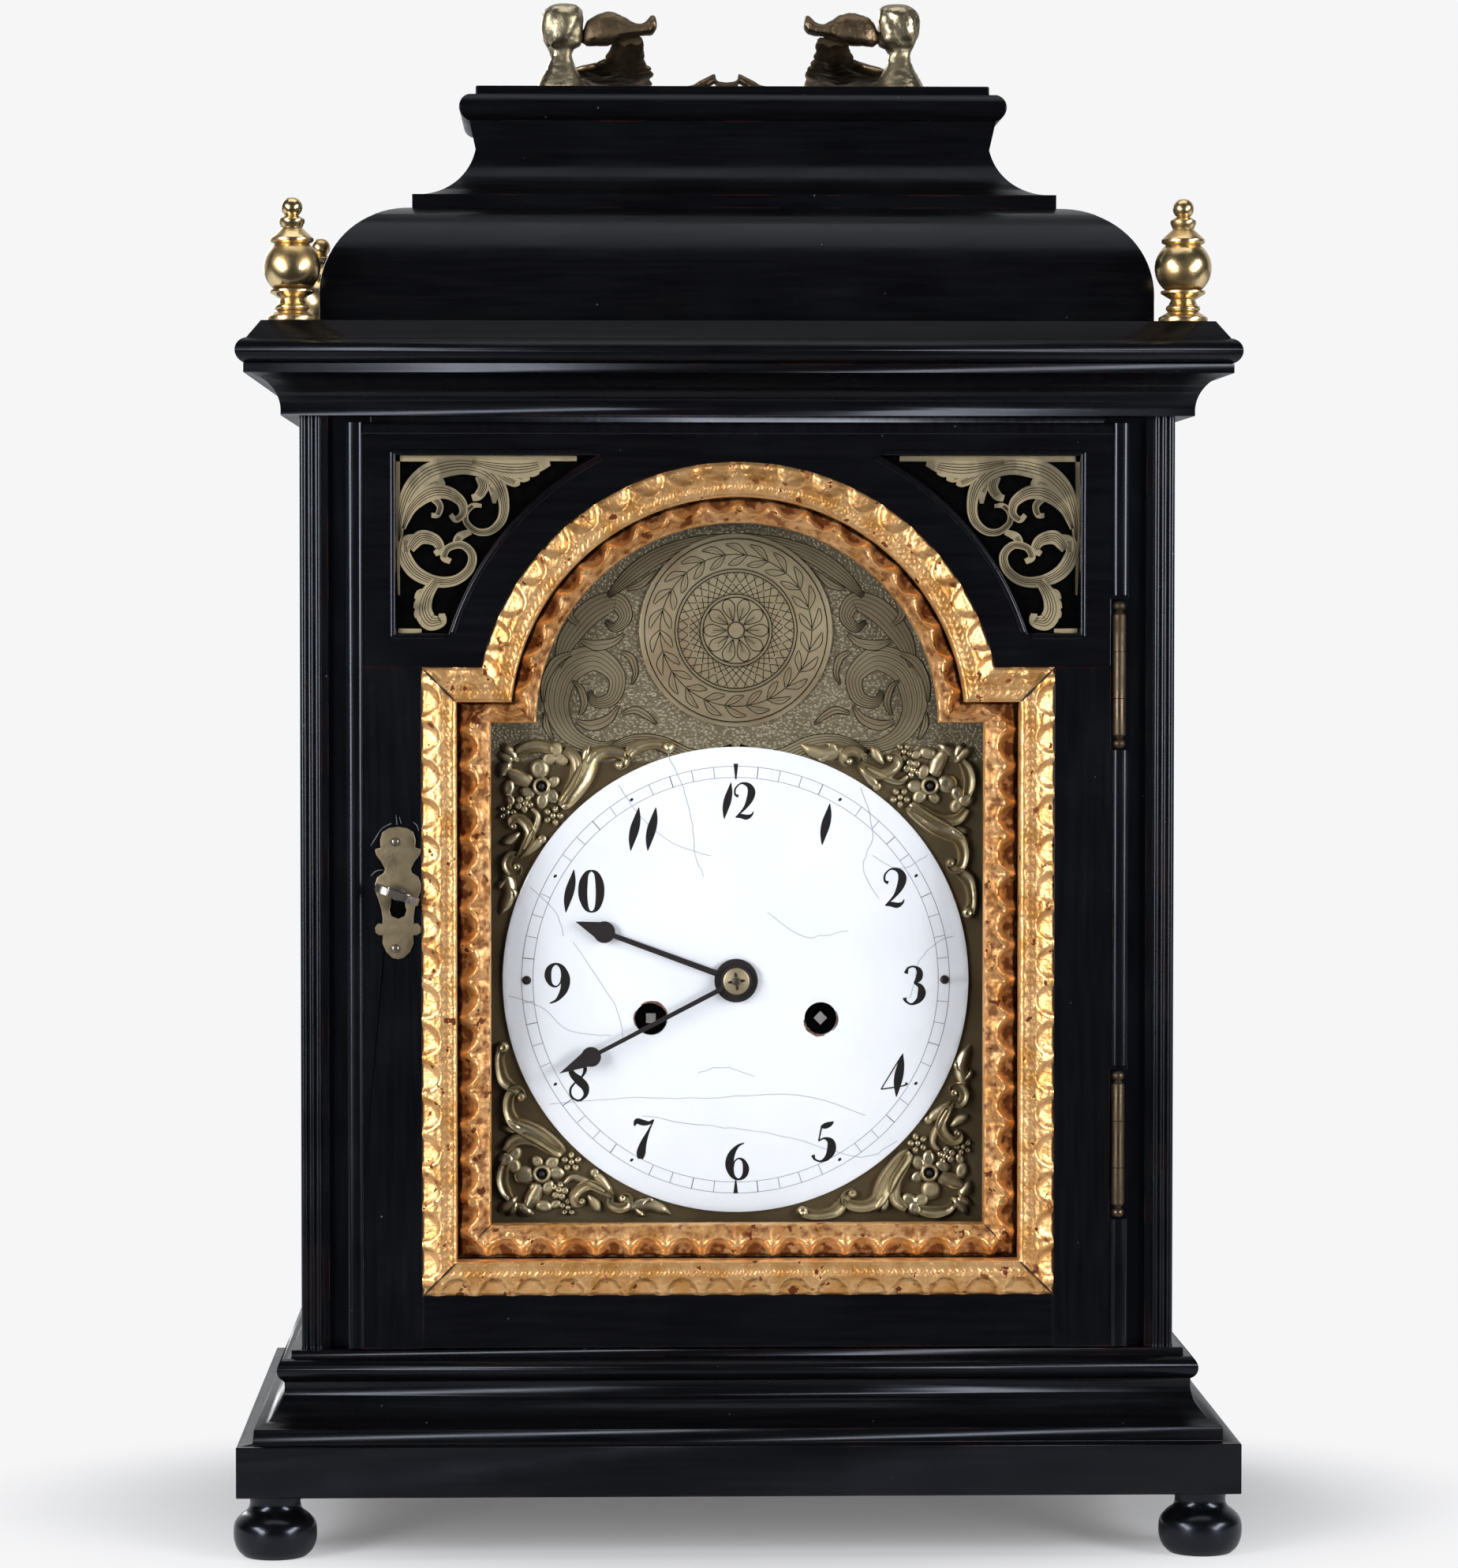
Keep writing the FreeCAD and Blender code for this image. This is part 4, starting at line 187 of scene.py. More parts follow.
def brass(name, light, dull, deep, rough, lumps, spots):
    """Copper and zinc alloy: bright where it is handled, a duller skin in patches and dark in the
    hollows."""
    made, tree, place = blank_material(name)
    skin = patches(tree, place, 11, 0.42, 0.68, 6)
    hollow = hollows(tree, 2.5, 0.35, 0.8)
    spot = specks(tree, place, 5, 0.55, patches(tree, place, 12, 0.5, 0.6, shift=0.7))
    colour = layered(tree, light, (skin, 1, dull), (hollow, 0.85, deep), (spot, spots, deep))
    even = add(tree, "MapRange", {"Value": skin, "To Min": rough, "To Max": rough * 1.9}).outputs[0]
    shine = add(tree, "Math", {0: hollow, 1: 0.25, 2: even}, operation="MULTIPLY_ADD").outputs[0]
    bumps = [(patches(tree, place, 1.3, 0.35, 0.7, 4), 0.02)]
    if lumps:
        bumps.append((patches(tree, place, 3.6, 0.3, 0.7, 3, shift=0.3), lumps))
    return surface(made, tree, {"Base Color": colour, "Metallic": 1.0, "Roughness": shine}, *bumps)


def even_surface(name, light, dark, rough, size, depth=0.01, metallic=1.0, gloss=0.5):
    """Filed and oiled metal, or with less metallic a skin, bare wood or cloth: an even colour with faint
    clouding and fine marks."""
    made, tree, place = blank_material(name)
    cloud = patches(tree, place, size, 0.35, 0.7, 5)
    marks = patches(tree, place, 0.9, 0.3, 0.7, 4, (1, 1, 0.2))
    return surface(made, tree, {"Base Color": layered(tree, light, (cloud, 1, dark)), "Metallic": metallic,
                                "Roughness": (cloud, rough, rough * 1.5), "Specular IOR Level": gloss},
                   (marks, depth))


def gilding():
    """Gold leaf on red-brown bole over carved wood: warm bright gold, painted shade near black in the
    crevices, leaf gone in chips, and thin and brown on the slope next to the glass."""
    made, tree, place = blank_material("water_gilding_on_bole")
    worn = add(tree, "Attribute", attribute_name="worn").outputs["Fac"]
    cloud = patches(tree, place, 7, 0.4, 0.66, 6)
    chips = patches(tree, place, 4.2, 0.64, 0.67, 5, shift=0.35)
    streaks = patches(tree, place, 2.6, 0.38, 0.62, 5, shift=0.8)
    fine = patches(tree, place, 1.5, 0.35, 0.7, 4)
    # Painted shade: near black where the carving is deep and close, as shade falls there.
    crevice_shade = hollows(tree, 3.0, 0.12, 0.55)
    uneven = add(tree, "MapRange", {"Value": streaks, "To Min": 0.45, "To Max": 1.15}).outputs[0]
    thin = add(tree, "Math", {0: worn, 1: uneven}, operation="MULTIPLY").outputs[0]
    # Thin leaf, chips and the painted shade in the crevices all turn the gold dull and dark.
    bare = thin
    for other in (chips, crevice_shade):
        bare = add(tree, "Math", {0: bare, 1: other}, operation="MAXIMUM", use_clamp=True).outputs[0]
    colour = layered(tree, "#fcc98b", (cloud, 1, "#dea05a"), (thin, 1, "#663615"), (chips, 1, "#5a290c"),
                     (crevice_shade, 1, "#120a06"))
    whole = add(tree, "Math", {0: 1.0, 1: chips}, operation="SUBTRACT").outputs[0]
    return surface(made, tree, {"Base Color": colour, "Metallic": (bare, 0.93, 0.25),
                                "Roughness": (bare, 0.38, 0.55), "Specular IOR Level": 0.22},
                   (fine, 0.1), (whole, 0.12))


def dial_brass(name, matted):
    """Rolled brass plate, dulled to olive brown by age, with faint polishing lines. Where it is matted,
    the arch is struck all over with a small ring punch, dull, with a painted glint on each bead."""
    made, tree, place = blank_material(name)
    cloud = patches(tree, place, 24, 0.38, 0.66, 5)
    light, dull = ("#75674d", "#57472f") if matted else ("#bcb091", "#95846a")
    colour = layered(tree, light, (cloud, 1, dull))
    bumps = [(patches(tree, place, 1.2, 0.3, 0.7, 3, (0.05, 1, 1)), 0.015)]
    if matted:
        # The real punch is about 0.6 mm across; it is drawn at 0.9 mm so that it still shows.
        rings = add(tree, "TexVoronoi", {"Vector": place, "Scale": 1000 / 0.9}).outputs["Distance"]
        bead = add(tree, "MapRange", {"Value": rings, "From Min": 0.55, "From Max": 0.1}).outputs[0]
        height = add(tree, "SeparateXYZ", {0: place}).outputs["Z"]
        arch = add(tree, "MapRange", {"Value": height, "From Min": MATTING_Z * MM,
                                      "From Max": (MATTING_Z + 1) * MM}).outputs[0]
        # Each bead is painted paler: a painted glint on its top.
        colour = layered(tree, colour, (arch, 1, layered(tree, "#7f7660", (bead, 1, "#b6ad94"))))
        bumps.append((add(tree, "Math", {0: bead, 1: arch}, operation="MULTIPLY").outputs[0], 0.1))
    return surface(made, tree, {"Base Color": colour, "Metallic": 0.72, "Roughness": (cloud, 0.4, 0.5)},
                   *bumps)


def enamel():
    """Fired glass enamel on copper: cold white, glossy, slightly uneven."""
    made, tree, place = blank_material("fired_white_enamel")
    cloud = patches(tree, place, 30, 0.35, 0.7, 3)
    dirt = specks(tree, place, 14, 0.3, patches(tree, place, 30, 0.55, 0.62, shift=0.5))
    colour = layered(tree, "#e6eaf1", (cloud, 1, "#e0e5ec"), (dirt, 0.5, "#8b8d94"))
    return surface(made, tree, {"Base Color": colour, "Roughness": 0.2, "Coat Weight": 0.5,
                                "Coat Roughness": 0.06}, (cloud, 0.03))


def ink(name, dark, grey):
    """Vitreous black painted on the enamel and fired: soft black with pinholes."""
    made, tree, place = blank_material(name)
    colour = layered(tree, dark, (specks(tree, place, 1.0, 0.16), 0.5, grey))
    return surface(made, tree, {"Base Color": colour, "Roughness": 0.45})


def crown_glass():
    """Thin clear pane: almost nothing to see but a faint reflection and a little unevenness."""
    made, tree, place = blank_material("thin_crown_glass")
    wave = patches(tree, place, 60, 0.3, 0.7, 1)
    return surface(made, tree, {"Base Color": linear("#050606"), "Roughness": (wave, 0.03, 0.06),
                                "Alpha": 0.04}, (wave, 0.05))


UPRIGHT_WOOD = ebonised("ebonised_pearwood_upright", "z", 0.36, 0.14, 0.2)
LEVEL_WOOD = ebonised("ebonised_pearwood_level", "x", 0.22, 0.04, 0.22)
OAK = carcase_wood()
TURNED_BRASS = brass("turned_brass_polished", "#f2d6a0", "#cfae78", "#5e4222", 0.21, 0, 0.6)
HINGE_BRASS = brass("drawn_brass_brown", "#5f5344", "#463c30", "#221a13", 0.34, 0, 0.4)
PILLAR_BRASS = brass("cast_brass_pale", "#bdb195", "#948a70", "#2e281d", 0.26, 0.15, 0.3)
SPANDREL_BRASS = brass("cast_brass_olive", "#ddd0ae", "#b9ab88", "#33291a", 0.33, 0.1, 0.2)
FRET_BRASS = brass("sheet_brass_pale", "#cdbf9f", "#aea081", "#7c7054", 0.34, 0, 0.1)
LOCK_BRASS = brass("sheet_brass_unpolished", "#94876e", "#786d57", "#3a3325", 0.4, 0.05, 0.4)
MOVEMENT_BRASS = brass("sheet_brass_lacquered", "#c9ab6c", "#ad9052", "#6b5530", 0.24, 0, 0.3)
BRONZE = brass("cast_bronze_brown", "#7d6c55", "#574a3b", "#1c1610", 0.34, 0.2, 0.3)
STEEL = even_surface("filed_steel", "#aaa29e", "#80776f", 0.27, 6)
DULL_STEEL = even_surface("filed_steel_greyed", "#8d8b89", "#6f6c6a", 0.5, 5, metallic=0.35)
DARK_STEEL = even_surface("blued_steel_gone_brown", "#474244", "#353132", 0.38, 9, metallic=0.8)
BARE_COPPER = even_surface("copper_bared_by_a_chip", "#96705c", "#5b3f33", 0.45, 1.2, 0.05, 0.6)
BELL_METAL = even_surface("cast_bell_metal", "#b59b63", "#8c7648", 0.25, 14)
GILT = gilding()
PLATE_BRASS = dial_brass("rolled_brass_aged", False)
MATTED = dial_brass("rolled_brass_ring_punched", True)
GRAVER = even_surface("graver_cut_filled_dark", "#3a3323", "#2a2417", 0.5, 4)
# Pale lines beside the dark graver cuts: painted glints.
PAINTED_GLINT_CUT = even_surface("graver_cut_painted_glint", "#cfc6a6", "#aba284", 0.3, 4)
# Dark bare wood in the mitre cracks, and painted shade in the screw and collet slots.
CRACK_AND_SLOT_SHADE = even_surface("bare_wood_in_a_crack_and_painted_slot_shade", "#1d0e07", "#2e170c", 0.7, 3, metallic=0.0)
SCRATCH = even_surface("varnish_scratched_pale", "#5d6068", "#3f4148", 0.6, 3, metallic=0.0)
ENAMEL = enamel()
INK = ink("fired_black", "#0d0b0c", "#2c292b")
FAINT_INK = ink("fired_black_worn_thin", "#7d8288", "#a9adb3")
CRACK = ink("hairline_with_dust", "#a3a7b0", "#b9bdc4")
GLASS = crown_glass()
# Black cloth behind the frets, and painted shade inside the keyhole and the winding holes.
SHADE = even_surface("black_cloth_and_painted_shade", "#040404", "#070707", 1.0, 3, metallic=0.0, gloss=0.0)

LOOKS = {
    UPRIGHT_WOOD: "side_panels front_frame reeded_pilasters door_stiles back_frame back_door",
    LEVEL_WOOD: "bun_feet base_mouldings cornice_mouldings bell_top_dome bell_top_neck cap_board "
                "door_top_rail door_bottom_rail dial_mask",
    OAK: "bottom_board seat_board",
    TURNED_BRASS: "corner_finials",
    HINGE_BRASS: "case_hinge_leaves door_hinge_leaves back_pivots",
    LOCK_BRASS: "lock_case",
    GLASS: "door_glass",
    MATTED: "dial_plate",
    PLATE_BRASS: "arch_boss hand_collet",
    ENAMEL: "enamel_dial",
    DARK_STEEL: "hour_hand minute_hand",
    STEEL: "door_key lock_bolt centre_wheel third_wheel escape_wheel anchor hammer pendulum_rod",
    DULL_STEEL: "going_arbor strike_arbor",
    BELL_METAL: "bell",
}


class Blank:
    """Points, in mm, and faces of one piece while it is shaped."""

    def __init__(self):
        self.points = []
        self.faces = []
        self.worn = []

    def skin(self, rows, round_rows=False, round_run=False):
        """Faces over rows of points; each row, or the run of rows, may close on itself."""
        start, wide, tall = len(self.points), len(rows[0]), len(rows)
        for row in rows:
            self.points += row
        for i in range(tall if round_run else tall - 1):
            for k in range(wide if round_rows else wide - 1):
                here, there = start + i * wide, start + (i + 1) % tall * wide
                after = (k + 1) % wide
                self.faces.append((here + k, here + after, there + after, there + k))

    def close(self, row):
        """One face over a ring of points."""
        start = len(self.points)
        self.points += row
        self.faces.append(tuple(range(start, start + len(row))))

    def tube(self, rings):
        """Faces over a run of rings, closed at both ends."""
        self.skin(rings, round_rows=True)
        self.close(rings[0])
        self.close(rings[-1])


def place_in_scene(name, data):
    item = bpy.data.objects.new(name, data)
    bpy.context.scene.collection.objects.link(item)
    return item


def piece(name, blank, made, body, slot, *stands_for):
    sheet = bpy.data.meshes.new(name)
    sheet.from_pydata([Vector(point) * MM for point in blank.points], [], blank.faces)
    if blank.worn:
        sheet.attributes.new("worn", "FLOAT", "POINT").data.foreach_set("value", blank.worn)
    return settle(name, sheet, made, body, slot, *stands_for)


def settle(name, sheet, made, body, slot, *stands_for):
    """Puts a finished mesh on the body that carries it."""
    shape = bmesh.new()
    shape.from_mesh(sheet)
    bmesh.ops.remove_doubles(shape, verts=shape.verts, dist=0.001 * MM)
    bmesh.ops.recalc_face_normals(shape, faces=shape.faces)
    shape.to_mesh(sheet)
    shape.free()
    for face in sheet.polygons:
        face.use_smooth = True
    sheet.set_sharp_from_angle(angle=math.radians(55))
    sheet.materials.append(made)
    item = place_in_scene(name, sheet)
    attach(item, body)
    if stands_for:
        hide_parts(*stands_for)
    return item


def circle(count):
    """Cosine and sine at each of count steps round a full turn."""
    turns = [2 * math.pi * k / count for k in range(count)]
    return [(math.cos(turn), math.sin(turn)) for turn in turns]


def polar(radius, degrees, z):
    """Point at a radius and an angle round a middle on the centre line at height z."""
    turn = math.radians(degrees)
    return radius * math.cos(turn), z + radius * math.sin(turn)


def smooth_line(points, steps):
    """Points on a smooth line through the given ones, steps to a span."""
    line = []
    last = len(points) - 1
    for i in range(last):
        near = [points[min(max(k, 0), last)] for k in range(i - 1, i + 3)]
        for step in range(steps):
            t = step / steps
            line.append([0.5 * (2 * b + (c - a) * t + (2 * a - 5 * b + 4 * c - d) * t ** 2
                                + (3 * b - a - 3 * c + d) * t ** 3) for a, b, c, d in zip(*near)])
    return line + [list(points[-1])]


FLAT = ((-1, 0), (-1, 1), (1, 1), (1, 0))
ROUND = ((-1, 0), (-0.85, 0.62), (-0.45, 0.94), (0, 1), (0.45, 0.94), (0.85, 0.62), (1, 0))
RIBBED = ((-1, 0), (-0.95, 0.7), (-0.72, 1), (-0.42, 0.66), (0, 0.52), (0.42, 0.66), (0.72, 1),
          (0.95, 0.7), (1, 0))


def strap(blank, points, section, height, face, spot=None, steps=6, shift=0.0, thin=None):
    """Strap along (x, z, width) points, lying on the face whose y is face(x, z). Unless it is flat, it
    sinks as it narrows. With thin it is a line of that width, set off by a share of the width."""
    line = smooth_line(points, steps)
    broad = max(width for _, _, width in line)
    rows = []
    for i, (x, z, width) in enumerate(line):
        before, after = line[max(i - 1, 0)], line[min(i + 1, len(line) - 1)]
        across = Vector((before[1] - after[1], after[0] - before[0]))
        across = across.normalized() if across.length else Vector((0, 1))
        middle = Vector((x, z)) + across * shift * width / 2
        half = max((thin or width) / 2, 0.02)
        rise = height if section is FLAT else height * min(1, 1.5 * width / broad)
        row = []
        for side, up in section:
            at = middle + across * side * half
            at = spot(at.x, at.y) if spot else at
            row.append((at[0], face(at[0], at[1]) - up * rise, at[1]))
        rows.append(row)
    blank.skin(rows)


def petal(blank, x, z, long, wide, turn, height, face, spot=None, dip=0.0):
    """Oval domed leaf or bead, its length turned in degrees, with a dip in its middle."""
    cos, sin = math.cos(math.radians(turn)), math.sin(math.radians(turn))
    rings = []
    for share, up in ((1, 0), (0.96, 0.5), (0.78, 0.88), (0.45, 1.0), (0.12, 1 - dip)):
        ring = []
        for u, v in circle(14):
            u, v = long / 2 * share * u, wide / 2 * share * v
            at = (x + u * cos - v * sin, z + u * sin + v * cos)
            at = spot(*at) if spot else at
            ring.append((at[0], face(at[0], at[1]) - up * height, at[1]))
        rings.append(ring)
    blank.skin(rings, round_rows=True)
    blank.close(rings[-1])


def level(y):
    return lambda x, z: y


def domed(z_middle, radius, rim, rise):
    """Front of a shallow dome: y at a point."""
    return lambda x, z: rim - rise * max(0, 1 - (x * x + (z - z_middle) ** 2) / radius ** 2)


def mirror_x(points):
    return [(-point[0],) + tuple(point[1:]) for point in points]


def arched_runs(half, bottom, shoulder, radius):
    """The arched outline as runs from corner to corner, each a function of the share along it."""
    low = math.asin((shoulder - ARCH_Z) / radius)
    spring = radius * math.cos(low)

    def straight(x0, z0, x1, z1):
        return lambda t: (x0 + (x1 - x0) * t, z0 + (z1 - z0) * t)

    def arch(t):
        turn = low + (math.pi - 2 * low) * t
        return radius * math.cos(turn), ARCH_Z + radius * math.sin(turn)

    return [straight(-half, bottom, half, bottom), straight(half, bottom, half, shoulder),
            straight(half, shoulder, spring, shoulder), arch,
            straight(-spring, shoulder, -half, shoulder), straight(-half, shoulder, -half, bottom)]


def profile(table, t):
    """Height from a table of (share across, height)."""
    for (t0, h0), (t1, h1) in zip(table, table[1:]):
        if t <= t1:
            u = (t - t0) / (t1 - t0)
            return h0 + (h1 - h0) * u * u * (3 - 2 * u)
    return table[-1][1]


def carved_frame(name, outer, inner, table, back, stands_for, pitch, reach, depth, bare, punched=False,
                 wave=0.0):
    """Gilded frame carved from the solid, with mitred corners. Thumb cuts stand pitch mm apart along its
    outer edge, depth mm deep, and reach in by a share of the width. Where it is punched, a zigzag runs on
    the flat beside them. With wave the crest beside them winds in and out by that share of the width. The
    bare shares say how much gold has gone from the land and from the slope to the glass, and how brown
    the cuts turn towards their deepest part."""
    columns, station_step = 26, 0.6
    cut_half, crest_half, lip, lip_reach = 0.43, 0.45, 0.14, 0.3
    punch_pitch, punch_line, punch_half, punch_depth = 2.4, 0.7, 0.14, 0.45
    land, hollow, slope = bare
    half, bottom, shoulder, radius = outer

    def carve(at, t, way):
        """Height and wear at a point, a share t across the width and way mm along the run."""
        u = way / pitch % 1 - 0.5
        crest = 0.5 + wave * (2 * math.sqrt(max(0, 1 - (u / crest_half) ** 2)) - 1)
        share = t / crest / 2 if t < crest else 1 - (1 - t) / (1 - crest) / 2
        height = profile(table, share)
        worn = slope if 0.55 < share < 0.95 else land
        cut = 1 - (u / cut_half) ** 2 - (t / reach) ** 2
        if cut > 0:
            height -= depth * min(1, 1.7 * cut) ** 0.8
            # The cuts turn browner towards their deepest part.
            worn = hollow * min(1, 1.5 * cut)
        elif cut > -lip_reach:
            height += lip * (1 + cut / lip_reach)
        if punched and abs(cut) < 0.35:
            # Spots of leaf have gone at the ends of the cuts.
            worn = max(worn, min(0.9, 4 * noise.noise(Vector((at.x, at.y, 11)) * 0.3) - 0.7))
        off = abs(t - punch_line) / punch_half
        if punched and off < 1:
            dent = max(0, math.sin(2 * math.pi * (way / punch_pitch + 0.7 * off))) * (1 - off)
            height -= punch_depth * dent
            worn = max(worn, 0.95 * dent)
        return height + 0.14 * noise.noise(Vector((at.x, at.y, 7)) * 0.4), worn

    along = (lambda x, z: x, lambda x, z: z - (bottom + shoulder) / 2, lambda x, z: x - half,
             lambda x, z: radius * math.atan2(x, z - ARCH_Z), lambda x, z: x + half,
             lambda x, z: z - (bottom + shoulder) / 2)
    blank = Blank()
    rows = []
    for outside, inside, place in zip(arched_runs(*outer), arched_runs(*inner), along):
        ends = [Vector(outside(k / 20)) for k in range(21)]
        stations = max(8, round(sum((b - a).length for a, b in zip(ends, ends[1:])) / station_step))
        for station in range(stations):
            first, last = (Vector(line(station / (stations - 1))) for line in (outside, inside))
            row = [(first.x, back, first.y)]
            blank.worn.append(0.7)
            for k in range(columns + 1):
                at = first.lerp(last, k / columns)
                way = place(at.x, at.y) + 0.8 * noise.noise(Vector((at.x, at.y, 3)) * 0.06)
                height, worn = carve(at, k / columns, way)
                row.append((at.x, -height, at.y))
                blank.worn.append(worn)
            row.append((last.x, back, last.y))
            blank.worn.append(0.8)
            rows.append(row)
    blank.skin(rows, round_run=True)
    piece(name, blank, GILT, "front_door", "gilt_wood", stands_for)


def gilt_frames():
    """The door's two carved frames, plugs over the pins in the inner one, and cracks in the mitres."""
    # Half width, bottom, shoulder and arch radius of the three outlines.
    outer = (100, 81.2, 280.25, 83)
    middle = (89, 92.2, 269.25, 72)
    sight = (78.35, 102.9, 262.5, 63.9)
    # How far each face stands in front of the clock's middle; the crest is half way across.
    broad = ((0, 84.6), (0.1, 85.3), (0.38, 86.0), (0.56, 86.3), (0.74, 86.2), (0.93, 86.3), (1, 85.6))
    steep = ((0, 76.4), (0.05, 76.8), (0.11, 79.0), (0.4, 79.8), (0.5, 80.0), (0.6, 79.0), (0.95, 77.2),
             (1, 76))
    carved_frame("gilt_outer_carving", outer, middle, broad, -78.0, "gilt_outer_frame", pitch=11.9,
                 reach=0.54, depth=1.35, bare=(0.0, 0.12, 0.0), punched=True)
    carved_frame("gilt_inner_carving", middle, sight, steep, -72.4, "gilt_inner_frame", pitch=11.4,
                 reach=0.62, depth=1.5, bare=(0.1, 1.25, 0.8), wave=0.13)
    plugs, cracks = Blank(), Blank()

    def crack(side, start, end, stations, height, face):
        """Crack between two corners, with its width at shares of the way."""
        (x0, z0), (x1, z1) = start, end
        strap(cracks, [(side * (x0 + (x1 - x0) * t), z0 + (z1 - z0) * t, width) for t, width in stations],
              FLAT, height, face)

    for side in (1, -1):
        for x, z, y in ((84.3, 110.4, -79.85), (72.4, 99.6, -78.95), (83.6, 262.0, -79.9)):
            petal(plugs, side * x, z, 3.1, 3.1, 0, 0.35, level(y))
        for edge in (1, 2):
            for t in (0.02, 0.5):
                crack(side, (outer[0], outer[edge]), (middle[0], middle[edge]),
                      ((t, 0.3), (t + 0.24, 0.8), (t + 0.48, 0.25)), 0.1, level(-86.35))
        stations = [(t, 0.2 + t * (1 - t)) for t in (0.5, 0.6, 0.7, 0.8, 0.9, 0.98)]
        crack(side, middle[:2], sight[:2], stations, 0.15,
              lambda x, z: -profile(steep, (middle[0] - abs(x)) / (middle[0] - sight[0])))
    piece("gilt_plugs", plugs, GILT, "front_door", "gilt_wood")
    piece("gilt_mitre_cracks", cracks, CRACK_AND_SLOT_SHADE, "front_door", "gilt_wood")


def corner(dx, dz):
    """Point in the left fret's window, from its outer top corner, in mm across and down."""
    return FRET_LEFT + dx, FRET_TOP - dz


# Lines through leaves and scrolls, as (across, down or up, width) points in mm.
FRET_STEMS = (
    ((6, 12.4, 1.6), (9.6, 9.4, 2.8), (13, 8, 3), (15, 9.6, 1.4)),
    ((29.4, 7.4, 2.2), (30.8, 11.4, 2.2), (31, 15, 0.9)),
    ((26.6, 6.4, 2.8), (27.6, 9.8, 2.8), (26, 12.6, 2.4), (24, 13.4, 1.6)),
    ((1.2, 27, 1.2), (1.6, 20, 2.4), (4.2, 11.8, 4.2), (9, 6.4, 5), (14.6, 4, 5), (21.6, 3.1, 4.6),
     (28, 4.8, 4.2), (32.2, 9, 3.6), (34, 14.6, 2.8), (33.4, 20, 2.4), (30, 23.6, 2), (25.8, 24, 1.8),
     (22.4, 21.4, 1.6), (22, 18.2, 1.5), (24.2, 15.8, 1.4), (27, 15.8, 0.9)),
    ((11, 12.6, 2.2), (13.8, 15.6, 1.8), (13.2, 18.6, 1.5), (11.2, 18.8, 1.2)),
    ((2.2, 23, 1.2), (5, 16.4, 2.8), (10.4, 12, 4), (16, 11.6, 3.4), (20.4, 14.4, 2.6), (21.2, 18, 2),
     (19, 20.2, 1.6), (17.2, 18.6, 1.2)),
    ((18.6, 28.6, 1.6), (20, 25.6, 2.2), (23.6, 24, 1.4)),
    ((2.6, 25, 1.2), (2.4, 31, 3.4), (5.8, 36.6, 3.6), (12, 39.6, 3), (18.4, 39.4, 2.6), (23, 36, 2.4),
     (24, 31.4, 2.2), (21, 28.2, 2), (16.6, 29, 1.8), (15, 32, 1.8), (17.2, 33.4, 1.4)),
    ((3.2, 30.4, 1.8), (3.4, 26.8, 2.4), (6, 25.4, 1.2)),
    ((4.4, 29.4, 2.4), (7.8, 25.8, 3.6), (12.2, 26.6, 3), (14, 29.4, 2.2), (12.2, 31, 1.4)),
    ((9.8, 42.8, 1.6), (7.4, 43.4, 1.8), (6, 45.2, 0.6)),
    ((9.2, 45.4, 1.8), (7, 46.4, 2), (5.8, 48.2, 0.6)),
    ((8.8, 48.2, 1.6), (6.8, 49.4, 1.8), (6.2, 51.2, 0.5)),
    ((12.6, 39.6, 2.4), (9.6, 44, 3.6), (8.6, 48.8, 4.4), (10.6, 52.4, 4.4), (14.2, 52.2, 2.8),
     (14.4, 49.8, 1.6)),
    ((32, 5.4, 2), (35, 7.2, 2.8), (37.6, 8.4, 2.4), (39, 8.2, 1.2)),
    ((37, 5.8, 2.2), (40, 6.8, 2.6), (42.2, 6.8, 1.4)),
    ((40.6, 4.8, 2), (43, 5.4, 2.2), (45.2, 5.2, 0.9)),
    ((24, 2.2, 2), (30, 3.4, 3.4), (36, 4.2, 4.6), (41, 4, 4.4), (45, 3.2, 3.2), (48.6, 2.4, 1.2)),
)
FRET_RIMS = (
    ((0.6, 0, 1.4), (0.6, 22, 1.2), (0.9, 44, 0.6)),
    ((0, 0.9, 1.9), (30, 0.9, 1.9), (57, 0.9, 1.6)),
    ((0.6, 55.2, 1.4), (4, 55.3, 1.5), (8, 55.2, 1.2)),
)


def sound_frets():
    """Two pierced sheets of scrolling leaves, each leaf lined with the graver, with black cloth behind."""
    sheet, lines, cloth = Blank(), Blank(), Blank()
    back = level(FRET_BACK_Y)
    for side in (1, -1):
        def spot(dx, dz, side=side):
            x, z = corner(dx, dz)
            return side * x, z
        for number, stem in enumerate(FRET_STEMS):
            # Each leaf stands a hair above the one before, so that overlaps stay clean.
            thick = 1.15 + OVERLAP_STEP * number
            strap(sheet, [(x, z, 1.22 * width) for x, z, width in stem], FLAT, thick, back, spot, 8)
            for shift, thin in ((-0.66, 0.22), (-0.25, 0.26), (0.12, 0.26), (0.55, 0.22)):
                strap(lines, stem[:-1], FLAT, VEIN_HEIGHT, level(FRET_BACK_Y - thick), spot, 8, shift, thin)
        for rim in FRET_RIMS:
            strap(sheet, rim, FLAT, 1.13, back, spot, 4)
        arc = [polar(96, a, ARCH_Z) for a in range(118, 164, 3)]
        window = [corner(0, 0)] + arc + [corner(0, 56)]
        cloth.close([(side * x, FRET_BACK_Y + 0.1, z) for x, z in window])
    piece("fret_leaves", sheet, FRET_BRASS, "front_door", "dial_brass", "sound_frets")
    piece("fret_graver_lines", lines, GRAVER, "front_door", "dial_brass")
    piece("fret_cloth", cloth, SHADE, "front_door", "ebonised_wood")


